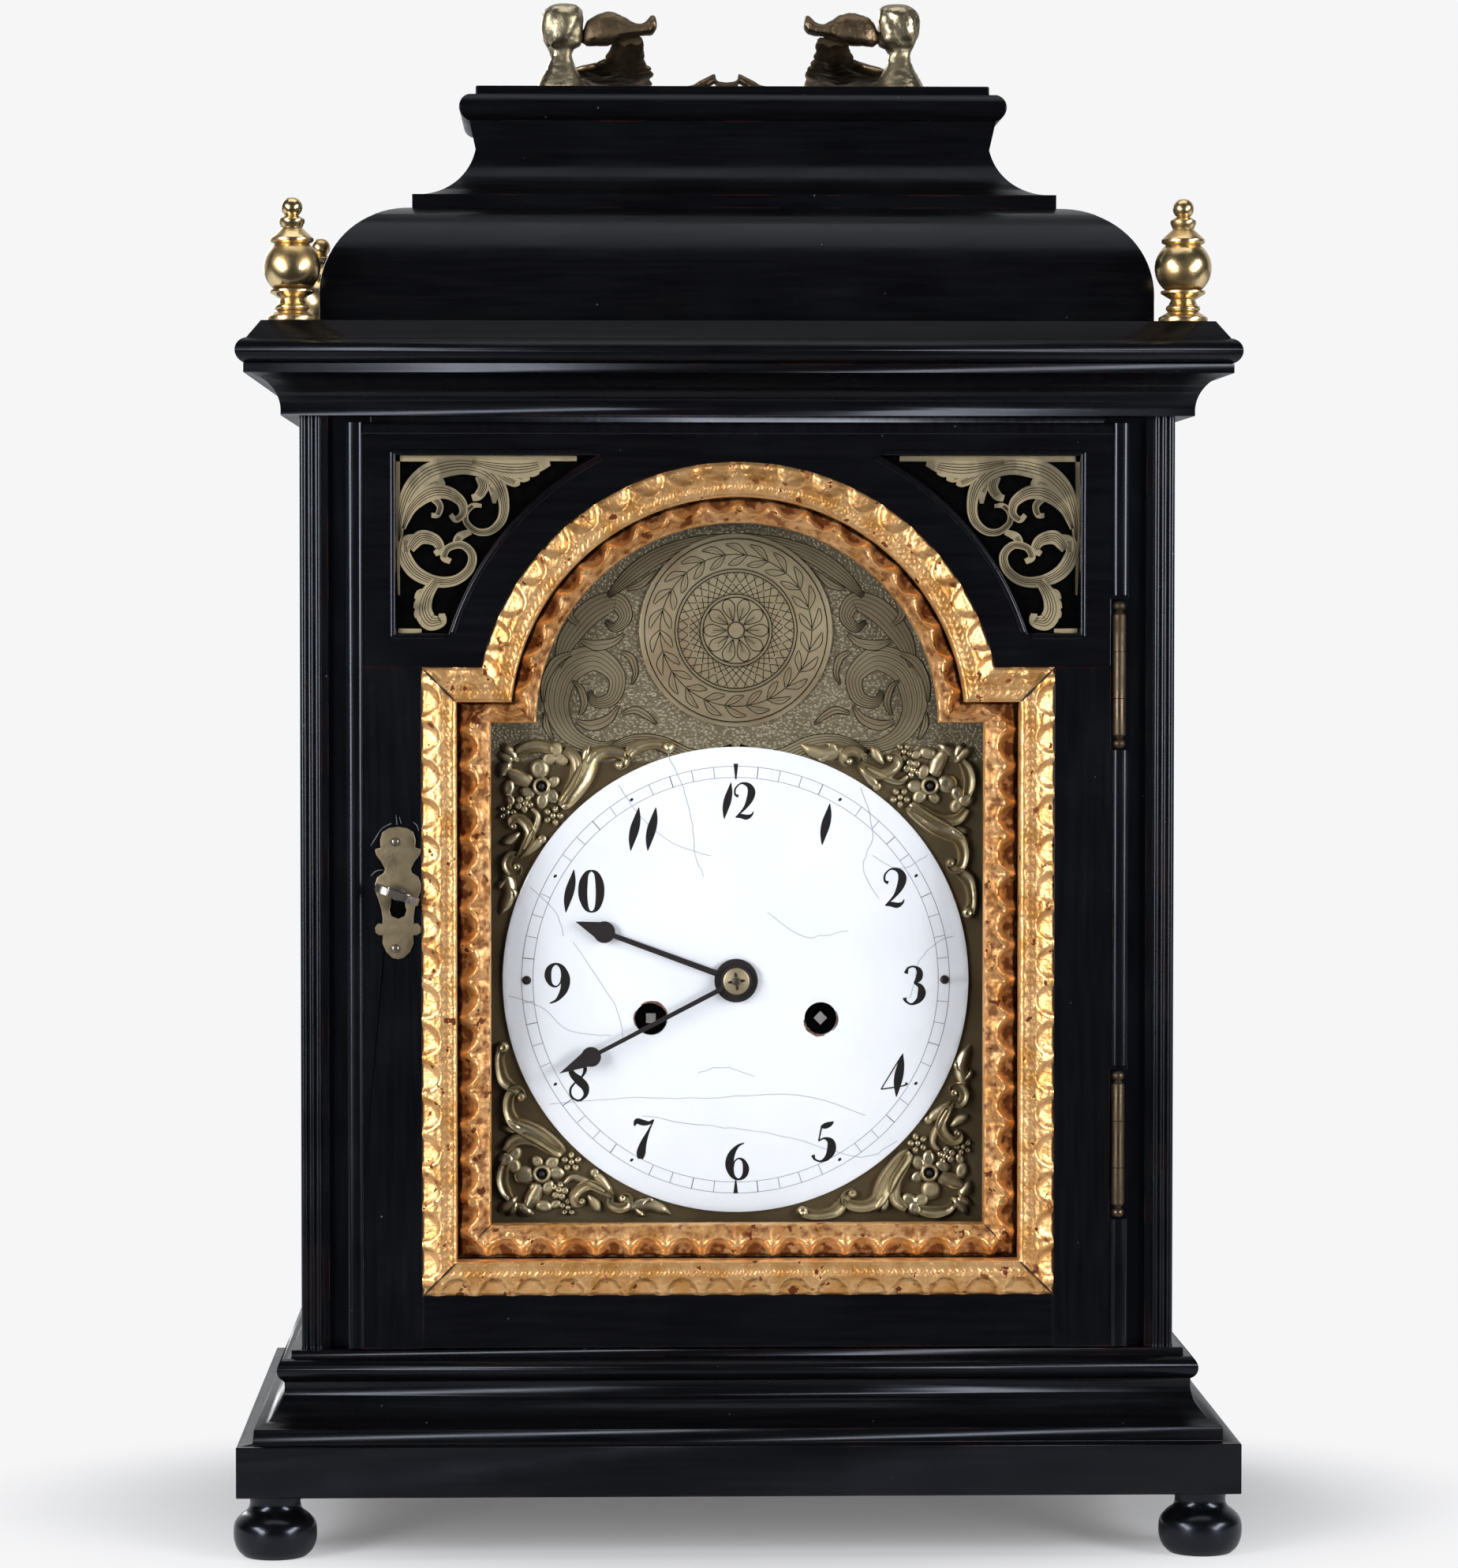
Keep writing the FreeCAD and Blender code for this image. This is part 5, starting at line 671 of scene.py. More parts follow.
SPANDREL_RIBS = (
    ((54.9, 1.6, 3.2), (51.9, 0.6, 2.6), (48.1, 0.8, 2.9), (44.5, 1.8, 3.3), (42.6, 3.9, 3),
     (42.2, 5.8, 1.4)),
    ((38.3, 8.1, 1.8), (40.6, 7.1, 2.4), (40.9, 4.9, 2.8), (38.3, 3.4, 3), (34.4, 3.4, 3.2),
     (30.8, 5.2, 3.8), (28.9, 8.8, 4.6), (27.3, 12, 4.8), (24.7, 15.9, 4.4), (21.8, 19.4, 3.8),
     (20.4, 20.8, 2.4)),
    ((21.6, 2.4, 2), (24.7, 4.9, 3), (25.6, 8.1, 3.2), (24.8, 12, 3), (22.6, 15.9, 2.6),
     (20.8, 19.4, 2.2)),
    ((18.2, 2.6, 2.2), (14.9, 1.6, 3.2), (11.7, 1.4, 3.4), (8.4, 2.4, 3), (6.2, 4, 2)),
    ((4.9, 27.6, 1.4), (4.5, 25.3, 2.2), (6.8, 24.5, 2.6), (9.4, 26.6, 3), (10.5, 29.9, 2.8),
     (9.1, 33.4, 2.6), (6.8, 37, 1.4)),
    ((7, 36.4, 1.2), (4.2, 36.4, 2.2), (2.9, 39.2, 2.8), (4.2, 41.8, 2.6), (6.6, 41.6, 2.2),
     (6.8, 39.8, 1.2)),
)
SPANDREL_LEAVES = (
    ((2, 0.4, 0.8), (3.6, 2.8, 3.2), (5.6, 5, 2.2), (6.8, 6.2, 0.8)),
    ((0.4, 3.4, 0.6), (2.6, 4.8, 2.6), (5, 5.8, 1.4)),
    ((4.4, 6.6, 1.4), (2.4, 8.6, 3.6), (0.9, 11.6, 0.8)),
    ((3, 9.4, 2.4), (6.6, 11.4, 4), (10.4, 13.2, 3)),
    ((29.2, 1.2, 0.8), (28.4, 4.2, 2.4), (27.6, 7.4, 1.2)),
    ((32.4, 1.6, 0.6), (30.4, 3.8, 2.2), (28.8, 7, 1.2)),
    ((11, 21.4, 1.2), (13, 23.7, 1.8), (12.3, 27, 2), (10.4, 30.8, 2), (8.4, 34.4, 1.4)),
    ((14.2, 31.2, 1.4), (12.6, 32.6, 2.8), (9.5, 35.4, 2), (7.4, 36.8, 0.8)),
    ((1.6, 32.4, 1.2), (4.2, 31.4, 2.8), (7.2, 29.2, 1.2)),
    ((2.6, 41.6, 2), (3.6, 45.6, 3.8), (3.8, 49, 3.6), (2.6, 52.6, 3), (0.8, 55.6, 0.6)),
    ((3.8, 46.4, 1.2), (5.4, 48.4, 1.8), (5.6, 50.6, 0.5)),
    ((3, 44.2, 1.2), (1.2, 45.6, 1.8), (0.6, 47.6, 0.5)),
)
SPANDREL_PETALS = (
    (13.6, 8.6, 6, 5.4, 90, 2), (17.6, 17.4, 4.8, 3.8, 40, 1.8), (14.4, 18.8, 5, 3.8, 95, 1.8),
    (9.8, 16.2, 4.6, 3.4, 20, 1.7), (9.2, 12.4, 4.6, 3.6, -30, 1.7), (18, 12.8, 4, 3.2, -35, 1.6),
    (18.8, 2.6, 5, 4, 75, 2.3), (16.8, 5.2, 4.8, 3.8, 150, 2.1), (20.6, 5.4, 4.8, 3.8, 30, 2.1),
    (3.6, 14.8, 5, 3.6, 100, 1.8), (4.2, 18.6, 3.4, 2.6, 60, 1.6), (7.2, 18.6, 2.3, 2.3, 0, 1.8),
    (8.9, 19.6, 2.2, 2.2, 0, 1.9), (9.8, 18, 2, 2, 0, 1.7), (6.8, 20.6, 2.2, 2.2, 0, 1.8),
    (8.6, 21.6, 2.3, 2.3, 0, 1.9), (10.6, 20.2, 2, 2, 0, 1.7), (55, 1.8, 3.4, 3.4, 0, 2.9),
    (39, 7.4, 2.6, 2.6, 0, 2.6), (14.4, 31.2, 2.6, 2.6, 0, 2), (6.2, 40.2, 2.4, 2.4, 0, 2.4),
    (5.2, 27, 2.2, 2.2, 0, 2.2)
)
SPANDREL_FLOWERS = ((17.9, 23.7, 2.2, 2.2), (3.2, 22.6, 1.9, 2.0))


def spandrels():
    """Four castings of scrolls, leaves and flowers, the same casting turned a quarter for each corner."""
    blank = Blank()
    face = level(PLATE_Y)
    for quarter in range(4):
        cos, sin = round(math.cos(math.pi / 2 * quarter)), round(math.sin(math.pi / 2 * quarter))

        def spot(dx, dz, cos=cos, sin=sin):
            x, z = -SPANDREL_CORNER + dx, SPANDREL_CORNER - dz
            return x * cos + z * sin, DIAL_Z + z * cos - x * sin

        for rib in SPANDREL_RIBS:
            strap(blank, [(x, z, 1.35 * width) for x, z, width in rib], RIBBED, 2.7, face, spot)
        for leaf in SPANDREL_LEAVES:
            strap(blank, [(x, z, 1.3 * width) for x, z, width in leaf], ROUND, 2.2, face, spot)
        for x, z, long, wide, turn, height in SPANDREL_PETALS:
            petal(blank, x, z, 1.2 * long, 1.2 * wide, turn, height, face, spot, 0.12)
        for x, z, ring, size in SPANDREL_FLOWERS:
            for k in range(5):
                out, up = polar(ring, 72 * k, z)
                petal(blank, x + out, up, size * 1.2, size, 72 * k, 1.8, face, spot, 0.2)
            petal(blank, x, z, size, size, 0, 2.3, face, spot)
        collar = [(14.2 + x, z, 1.7) for x, z in (polar(2.3, 22.5 * k, 14.2) for k in range(17))]
        strap(blank, collar, ROUND, 2.9, face, spot, 2)
    piece("spandrel_castings", blank, SPANDREL_BRASS, "case", "cast_brass", "corner_spandrels")


ARCH_LEAVES = (
    ((-33, 257, 1), (-44, 254.4, 3.6), (-53.4, 258.6, 6), (-57.6, 268, 8.4), (-54.4, 278.6, 9.6),
     (-45.6, 282.8, 8.4), (-38.4, 277.4, 6), (-39.4, 270.4, 4.8), (-44.8, 268.6, 3.4), (-47, 272.4, 1.4)),
    ((-57, 280, 2), (-54, 288.6, 6.4), (-46.6, 297.6, 8), (-38.6, 301, 6.4), (-35.4, 296.4, 4.6),
     (-38.6, 292.6, 3), (-41.8, 294.8, 1.2)),
    ((-41, 302.6, 1.6), (-34, 309.4, 5), (-25.4, 315.4, 5.4), (-15, 319.4, 4.2), (-6, 321.6, 2.2),
     (0, 322.4, 0.6)),
    ((-43, 252.6, 1), (-34, 256.2, 3.8), (-24.6, 255.6, 5), (-15, 251.6, 4.8), (-7, 252, 2.8),
     (-1.4, 255, 0.6)),
    ((-51, 262.6, 1.2), (-46.4, 261.2, 3.4), (-41, 263.2, 3), (-37.6, 267.6, 0.8)),
    ((-50, 264.6, 1), (-48.6, 268.6, 2.2), (-50, 273.4, 2), (-52.6, 275.6, 0.6)),
    ((-49.6, 288.4, 1.2), (-45, 287, 3.4), (-39.4, 288, 2.6), (-35.8, 290.8, 0.8)),
    ((-53, 284.4, 1.4), (-58, 281.6, 3), (-61.4, 275, 2.2), (-61.8, 268.6, 0.8)),
    ((-50.6, 293.6, 1.2), (-53.4, 297, 2.6), (-51.6, 302.4, 1.6), (-48.4, 305, 0.6)),
    ((-35, 305, 1), (-30.6, 306.4, 2.4), (-27, 309.4, 1.6), (-24, 311.6, 0.6)),
    ((-37, 284.8, 1), (-33.6, 283, 2.4), (-32.2, 278.4, 1.8), (-33.4, 274.4, 0.6)),
    ((-36.6, 265, 1), (-32.4, 266.2, 2.4), (-28.6, 264.4, 2.2), (-25.4, 261.6, 0.6)),
    ((-58.8, 256.6, 0.8), (-60.8, 261, 2.2), (-61.2, 265.4, 0.8)),
)


def dial_engraving():
    """Scrolling leaves cut in the arch of the dial plate, plain against the matted ground, each leaf
    veined with the graver, with pale painted glints between the dark cuts."""
    leaves, veins, cuts = Blank(), Blank(), Blank()
    for number, leaf in enumerate(ARCH_LEAVES):
        thick = 0.12 + OVERLAP_STEP * number
        last = 10 if max(width for _, _, width in leaf) > 4 else 4
        for stem in (leaf, mirror_x(leaf)):
            strap(leaves, stem, FLAT, thick, level(PLATE_Y), None, 8)
            for line in range(last + 1):
                # Dark cuts and pale painted glints take turns; the two outermost cuts are the broadest.
                strap(veins if line % 2 else cuts, stem, FLAT, VEIN_HEIGHT, level(PLATE_Y - thick), None, 8,
                      -0.95 + 1.9 * line / last, 0.3 if line in (0, last) else 0.2)
    piece("arch_leaf_ground", leaves, PLATE_BRASS, "case", "dial_brass")
    piece("arch_leaf_cuts", cuts, GRAVER, "case", "dial_brass")
    piece("arch_leaf_painted_glints", veins, PAINTED_GLINT_CUT, "case", "dial_brass")


def boss_engraving():
    """Domed boss with a plain engraved rosette, a band of trellis and a ring of laurel leaves, with pale
    painted glints beside the dark cuts.
    """
    cuts, bright = Blank(), Blank()
    face = domed(BOSS_Z, 31, -59.2, 2.2)

    def cut(blank, points, steps=6, shift=0.0, thin=None):
        """Line through (radius, degrees, width) points round the boss."""
        strap(blank, [polar(radius, angle, BOSS_Z) + (width,) for radius, angle, width in points], FLAT,
              LINE_HEIGHT, face, None, steps, shift, thin)

    def ring(blank, radius, width):
        cut(blank, [(radius, 7.5 * k, width) for k in range(49)], 1)

    def ray(blank, angle, r0, r1, width, twist=0.0):
        cut(blank, [(r0, angle, width), (r1, angle + twist, width)], 4)

    for radius in (2.6, 10.6, 11.6, 18.6, 19.6, 29.4):
        ring(cuts, radius, 0.34)
        # Painted glint: a pale ring beside each dark cut.
        ring(bright, radius + 0.34, 0.22)
    loop = ((3.0, 0), (5.5, 13), (8.2, 14), (10, 6), (10.3, 0))
    for k in range(10):
        a = 36 * k
        for side in (1, -1):
            cut(cuts, [(r, a + side * swing, 0.3) for r, swing in loop])
            ray(bright, a + side * 5, 4, 8, 0.22)
        ray(cuts, a, 3.4, 7.4, 0.26)
    for k in range(36):
        ray(cuts, 10 * k, 11.8, 18.4, 0.26, 22)
        ray(cuts, 10 * k, 11.8, 18.4, 0.26, -22)
        petal(bright, *polar(15.1, 10 * k + 5, BOSS_Z), 0.8, 0.8, 0, 0.06, face)
    for k in range(22):
        a = 360 / 22 * k
        for side in (1, -1):
            r = 24.4 + side * 2.3
            leaf = ((24.4, a, 0.5), (r, a + 7.5, 2.2), (r + side, a + 15, 0.4))
            cut(cuts, leaf, 5, 0.95, 0.28)
            cut(cuts, leaf, 5, -0.95, 0.28)
            cut(bright, leaf, 5, 0.1, 0.26)
    ring(cuts, 24.4, 0.3)
    piece("boss_cuts", cuts, GRAVER, "case", "dial_brass")
    piece("boss_painted_glints", bright, PAINTED_GLINT_CUT, "case", "dial_brass")


DIGITS = {
    "0": (((0, 6.4, 0.3), (1.5, 5.4, 1.1), (2.5, 2.4, 2), (2.6, -1.6, 2), (1.7, -5.2, 1.2),
           (0, -6.4, 0.3), (-1.6, -5.2, 1.2), (-2.6, -1.6, 2.1), (-2.5, 2.4, 2.1), (-1.5, 5.4, 1.1),
           (0, 6.4, 0.3)),),
    "1": (((-1.3, -6.6, 0.1), (-0.85, -3.2, 1.6), (-0.1, 0, 2.2), (0.7, 3.2, 1.6), (1.2, 6.6, 0.1)),),
    "2": (((-2.2, 1.6, 0.9), (-3.4, 2.4, 0.5), (-3.2, 4.6, 0.4), (-1.2, 6.3, 0.4), (1.4, 5.7, 1.3),
           (2.6, 3.4, 2.2), (1.9, 0.4, 1.9), (0, -2.8, 0.8), (-3.2, -6.1, 0.2)),
          ((-3.2, -6, 0.3), (-1.4, -5.6, 1.2), (0.8, -6, 1.4), (2.6, -5.2, 0.6), (3.2, -4, 0.2))),
    "3": (((-2.6, 4, 1.1), (-1.8, 5.9, 0.5), (0.4, 6.3, 0.5), (2, 4.8, 1.5), (1.8, 2.4, 1.7),
           (0.2, 0.8, 0.4)),
          ((0.2, 0.8, 0.4), (2.2, -0.3, 1.3), (2.8, -2.6, 2.2), (1.8, -5, 1.5), (-0.6, -6.4, 0.5),
           (-2.6, -5.4, 0.6), (-3, -4.2, 1.1))),
    "4": (((0.6, -6.8, 0.1), (0.9, -3.2, 1.7), (1.4, 0, 2.2), (2, 3.2, 1.7), (2.6, 6.8, 0.1)),
          ((2.3, 6.2, 0.22), (-0.8, 1.2, 0.22), (-4.2, -4.4, 0.22)),
          ((-4.2, -4.4, 0.25), (0, -3.8, 0.25), (3.2, -3.2, 0.3), (3.9, -2.4, 0.8))),
    "5": (((-1.5, 0.6, 0.3), (-1, 3, 0.3), (-0.5, 5.4, 0.4)),
          ((-0.8, 5, 0.5), (0.6, 5.4, 1.5), (2.2, 6, 1.2), (3.4, 6.8, 0.2)),
          ((-1.6, 0.4, 0.3), (0.4, 1.3, 0.5), (2.4, 0.2, 1.8), (2.7, -2.4, 2.3), (1.4, -5, 1.5),
           (-0.8, -6.3, 0.5), (-2.8, -5.6, 0.5), (-3.4, -4.2, 1))),
    "6": (((2.4, 6.4, 0.2), (0, 5.2, 0.8), (-2.1, 2.2, 1.9), (-2.7, -1.4, 2.3), (-1.7, -4.9, 1.3),
           (0.4, -6.3, 0.5), (2.4, -5, 1.3), (3, -2.4, 1.7), (2.1, 0.2, 0.9), (0.4, 1, 0.35),
           (-1, -0.2, 0.3), (-1.3, -2, 0.2)),),
    "7": (((-3.2, 4.4, 0.3), (-2.4, 6, 1.3), (-0.4, 5.5, 1.5), (1.6, 5.4, 0.9), (3.2, 6.5, 0.3)),
          ((3.2, 6.4, 0.2), (1.4, 2.6, 0.6), (-0.2, -1.2, 1.6), (-1, -4.4, 2.3), (-1.2, -6.5, 1.4))),
    "8": (((1.6, 5.7, 0.4), (-0.4, 6.4, 0.4), (-2.4, 4.7, 0.9), (-1.8, 2.4, 1.6), (0.4, 0.2, 2.3),
           (2.4, -2, 2), (2.5, -4.6, 1), (0.4, -6.4, 0.45), (-2, -5.2, 0.5), (-2.4, -2.6, 0.5),
           (-0.6, -0.2, 0.4), (1.6, 1.8, 0.5), (2.4, 4, 0.9), (1.6, 5.7, 0.4)),),
}
DIGITS["9"] = tuple(tuple((-x, -z, width) for x, z, width in stroke) for stroke in DIGITS["6"])
HOURS = ((12, 0.8, 57.7, 0.88), (1, 29.0, 50.1, 1.0), (2, 51.1, 29.7, 0.95), (3, 57.2, -1.8, 0.95),
         (4, 51.1, -30.8, 1.03), (5, 28.2, -52.4, 0.98), (6, 0.5, -58.5, 0.93), (7, -29.5, -51.3, 0.98),
         (8, -50.8, -32.5, 0.98), (9, -57.4, -1.0, 1.0), (10, -49.1, 28.7, 1.04), (11, -29.7, 48.6, 1.05))
HAIRLINES = (
    ((-22, 73), (-17, 62), (-14, 50), (-13, 40), (-10, 33)),
    ((-38, 63), (-30, 52), (-20, 44), (-8, 40)),
    ((-52, 12), (-44, 0), (-38, -10), (-36, -20)),
    ((-73, -5), (-62, -9), (-54, -16), (-40, -18)),
    ((-30, -44), (-8, -47), (14, -50), (40, -57), (52, -52)),
    ((-60, -40), (-36, -38), (-10, -38), (20, -37), (42, -44)),
    ((40, 62), (44, 48), (41, 36), (46, 26)),
    ((62, 40), (52, 36), (44, 40)),
    ((10, 22), (22, 14), (36, 16)),
    ((-12, -30), (-4, -28), (6, -31)),
    ((70, 14), (60, 8), (56, -6)),
    ((-66, 30), (-58, 22), (-55, 14)),
)


def dial_painting():
    """Numerals, minute track, hour marks and hairline cracks on the domed enamel."""
    face = domed(DIAL_Z, *ENAMEL_DOME)
    black, worn, cracks = Blank(), Blank(), Blank()
    for hour, x, z, size in HOURS:
        word = str(hour)
        starts = {"12": (-3.9, 2.2), "10": (-4.0, 2.6), "11": (-2.6, 2.6)}.get(word, (0,))
        for digit, start in zip(word, starts):
            for stroke in DIGITS[digit]:
                points = [(x + (start + dx) * size, DIAL_Z + z + dz * size, (1.22 * width + 0.12) * size)
                          for dx, dz, width in stroke]
                strap(black, points, FLAT, LINE_HEIGHT, face, None, 7)
    track = (65.2, 68.8)
    for radius in track:
        strap(worn, [polar(radius, 90 - 3 * k, DIAL_Z) + (0.17,) for k in range(121)], FLAT, 0.04, face,
              None, 1)
    for minute in range(60):
        angle = 90 - 6 * minute
        if minute in (0, 30):
            near, far, point = (64.6, 69.6, 0.4) if minute == 0 else (64.2, 68.9, 0.3)
            strap(black, [polar(near, angle, DIAL_Z) + (point,), polar(far, angle, DIAL_Z) + (1.5,)], FLAT,
                  LINE_HEIGHT, face, None, 4)
        elif minute % 15 and minute % 5 == 0:
            petal(black, *polar(67, angle, DIAL_Z), 1.3, 0.9, 40, LINE_HEIGHT, face)
        elif minute % 15:
            # Most of the thin strokes have worn grey.
            tick = [polar(radius, angle, DIAL_Z) + (0.2,) for radius in track]
            strap(black if minute % 7 in (1, 4) else worn, tick, FLAT, LINE_HEIGHT, face, None, 3)
    for number, line in enumerate(HAIRLINES):
        points = []
        for k, (x, z) in enumerate(smooth_line(line, 6)):
            jog = noise.noise(Vector((x, z, number)) * 0.35)
            width = 0.2 + 0.14 * abs(noise.noise(Vector((k, number, 2)) * 0.4))
            points.append((x + 0.7 * jog, DIAL_Z + z - 0.6 * jog, width))
        strap(cracks, points, FLAT, 0.03, face, None, 1)
    piece("dial_numerals", black, INK, "case", "enamel")
    piece("dial_minute_track", worn, FAINT_INK, "case", "enamel")
    piece("dial_hairlines", cracks, CRACK, "case", "enamel")


def collet_slots():
    """Four slots in the collet that holds the hands, drawn as dark strips of painted shade."""
    slots = Blank()
    for k in range(4):
        turn = 90 * k + math.degrees(0.12)
        slot = [polar(r, turn, DIAL_Z) + (width,) for r, width in ((1.4, 0.9), (2.2, 0.8), (2.9, 0.3))]
        strap(slots, slot, FLAT, LINE_HEIGHT, level(-66.42))
    piece("collet_slots", slots, CRACK_AND_SLOT_SHADE, "minute", "dial_brass")


def winding_holes():
    """A dark ring of painted shade behind each winding hole, and chips at its rim that bare the copper."""
    face = domed(DIAL_Z, *ENAMEL_DOME)
    hole_shade, chips = Blank(), Blank()
    for arbor, rims in (("strike_arbor", ((15, 125, 0.9), (150, 205, 0.5))),
                        ("going_arbor", ((185, 285, 0.9), (-45, 25, 0.6)))):
        low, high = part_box(arbor)
        x, z = (low[0] + high[0]) / 2 / MM, (low[2] + high[2]) / 2 / MM
        # Painted shade: a black ring that stands for the dark inside the hole.
        hole_shade.skin([[(x + r * cos, PLATE_Y + 0.2, z + r * sin) for cos, sin in circle(48)]
                      for r in (2.8, 5.2)], round_rows=True)
        for start, end, wide in rims:
            points = []
            for k in range(13):
                angle = start + (end - start) * k / 12
                ragged = abs(noise.noise(Vector((3 * math.radians(angle), start, 0))))
                out, up = polar(5.45, angle, z)
                points.append((x + out, up, wide * (0.25 + ragged + 0.5 * math.sin(math.pi * k / 12))))
            strap(chips, points, FLAT, 0.04, face, None, 2)
    piece("winding_hole_painted_shade", hole_shade, SHADE, "case", "steel")
    piece("winding_hole_chips", chips, BARE_COPPER, "case", "enamel")


def lathe_ring(x, y, z, left, right, deep):
    """Squarish ring round an upright: half widths to each side, and half depth."""
    ring = []
    for cos, sin in circle(PILLAR_SIDES):
        across = math.copysign(abs(cos) ** 0.8, cos) * (right if cos > 0 else left)
        ring.append(Vector((x + across, y + math.copysign(abs(sin) ** 0.8, sin) * deep, z)))
    return ring


def cast_lumps(at, middle, size, depth):
    """Point pushed in and out like a rough casting with chased grooves."""
    out = (at - middle).normalized()
    groove = abs(noise.noise(at / size + Vector((0.3, 1.7, 0.4))))
    return at + out * depth * (1.1 * noise.noise(at / size * 0.6) + min(groove * 3, 1) - 0.9)


def pillars():
    """Cast handle pillars: spreading foot, narrow waist, and a lumpy leafy head flat on the side
    that carries the handle."""
    blank = Blank()
    pillar_x = 56.0
    # Height above the foot, half width away from the handle and towards it, and half depth.
    shape = smooth_line([(0, 8.9, 7.4, 7.6), (1.2, 9.0, 7.6, 7.8), (3, 8.2, 7.0, 7.0), (5.5, 6.8, 6.4, 6.0),
                         (8, 5.3, 5.1, 4.9), (10.5, 4.3, 4.0, 4.0), (12.8, 3.9, 3.6, 3.6),
                         (14.8, 4.5, 4.4, 4.2), (16.2, 5.4, 6.6, 5.4), (18.4, 6.4, 7.0, 6.4),
                         (21.5, 7.2, 7.1, 7.0), (25, 7.0, 7.2, 6.8), (27.6, 5.8, 6.8, 5.8),
                         (29.2, 3.6, 5.4, 3.8), (29.9, 1.2, 2.6, 1.4)], 4)
    for side in (1, -1):
        rows = []
        for z, far, near, deep in shape:
            left, right = (near, far) if side > 0 else (far, near)
            middle = Vector((side * pillar_x, 0, PILLAR_FOOT_Z + z))
            row = []
            for k, at in enumerate(lathe_ring(middle.x, 0, middle.z, left, right, deep)):
                swirl = abs(math.sin(2.5 * (2 * math.pi * k / PILLAR_SIDES) + side * 0.2 * z))
                flute = (min(1, 1.5 * swirl) - 1) * min(1, max(0, (z - 12) / 5))
                at = at + (at - middle).normalized() * flute
                at = cast_lumps(at, middle, 2.6, 0.28)
                row.append((at.x, at.y, min(max(at.z, PILLAR_FOOT_Z - 0.1), PILLAR_TOP_Z)))
            rows.append(row)
        blank.skin(rows, round_rows=True)
        blank.close(rows[-1])
    piece("handle_pillar_castings", blank, PILLAR_BRASS, "case", "cast_brass", "handle_pillars")


def handle_tongue(blank, side):
    """Thick curled tongue at one pivot, from (x, low, high, half depth) points."""
    tongue = smooth_line([(53.0, 486.8, 490.0, 1.6), (49.4, 486.6, 490.2, 1.8), (47.6, 485.4, 493.6, 3.0),
                          (45.0, 485.4, 495.6, 4.0), (40.5, 485.6, 496.8, 4.4), (36.5, 486.8, 496.0, 4.4),
                          (33.2, 488.2, 494.0, 4.3), (30.6, 488.8, 493.1, 4.2), (28.2, 489.0, 493.8, 4.1),
                          (26.0, 489.3, 495.8, 3.9), (24.9, 490.4, 495.2, 3.4),
                          (24.4, 491.6, 493.4, 2.4)], 5)
    rows = []
    for x, low, high, deep in tongue:
        middle = Vector((side * x, 0, (low + high) / 2))
        row = []
        for k, (cos, sin) in enumerate(circle(24)):
            # A crest runs along the front, two fifths of the way up.
            front = 1.16 if 13 < k < 17 else 1.0
            at = Vector((side * x, deep * front * sin, middle.z + (high - low) / 2 * cos))
            row.append(tuple(cast_lumps(at, middle, 3.0, 0.3)))
        rows.append(row)
    blank.tube(rows)


def handle_leaf(blank, side):
    """Lobed leaf that falls back from the tongue, from (y, z, middle x, width) points."""
    leaf = smooth_line([(1.0, 487.6, -34.0, 10.5), (4.5, 485.4, -34.2, 11.0), (8, 483.0, -34.8, 12.0),
                        (11, 481.6, -35.4, 13.5), (13.5, 480.4, -37.2, 19), (16, 479.2, -39.4, 26),
                        (20, 477.4, -39.6, 26.5), (25, 475.4, -39.2, 25), (31, 473.2, -38.6, 24),
                        (36, 471.8, -38.0, 19), (39, 471.0, -37.4, 12)], 5)
    rows = []
    for k, (y, z, middle, wide) in enumerate(leaf):
        lobe = wide / 2 + 1.0 * abs(math.sin(k * 0.5)) * min(1, k / 14)
        row = []
        for turn, (cos, sin) in enumerate(circle(28)):
            vein = 0.5 * math.cos(7 * (2 * math.pi * turn / 28)) if abs(cos) < 0.9 else 0
            at = Vector((-side * middle + lobe * cos, y + 0.4 * sin, z + (1.9 + vein) * sin))
            at = cast_lumps(at, Vector((-side * middle, y, z)), 2.6, 0.35)
            row.append((at.x, at.y, max(at.z, CAP_Z)))
        rows.append(row)
    blank.tube(rows)


def handle():
    """Folding handle: a tongue and a leaf at each end, and a thin grip with a crested middle."""
    blank = Blank()
    for side in (1, -1):
        handle_tongue(blank, side)
        handle_leaf(blank, side)
    crest = smooth_line([(44, 471.6, 2.0), (34, 472.2, 2.2), (26, 473.6, 2.2), (18, 474.4, 1.8),
                         (12, 475.0, 1.8), (9.4, 476.2, 2.0), (6.6, 477.6, 2.0), (5.0, 478.6, 1.8),
                         (4.0, 478.8, 1.7), (3.2, 476.6, 1.8), (0, 475.8, 2.0)], 4)
    grip_y = 37.8
    crest += [(-x, z, r) for x, z, r in crest[-2::-1]]
    blank.skin([[(x, grip_y + r * cos, z + r * sin) for cos, sin in circle(16)] for x, z, r in crest],
               round_rows=True)
    piece("handle_casting", blank, BRONZE, "carry_handle", "bronze", "carry_handle")


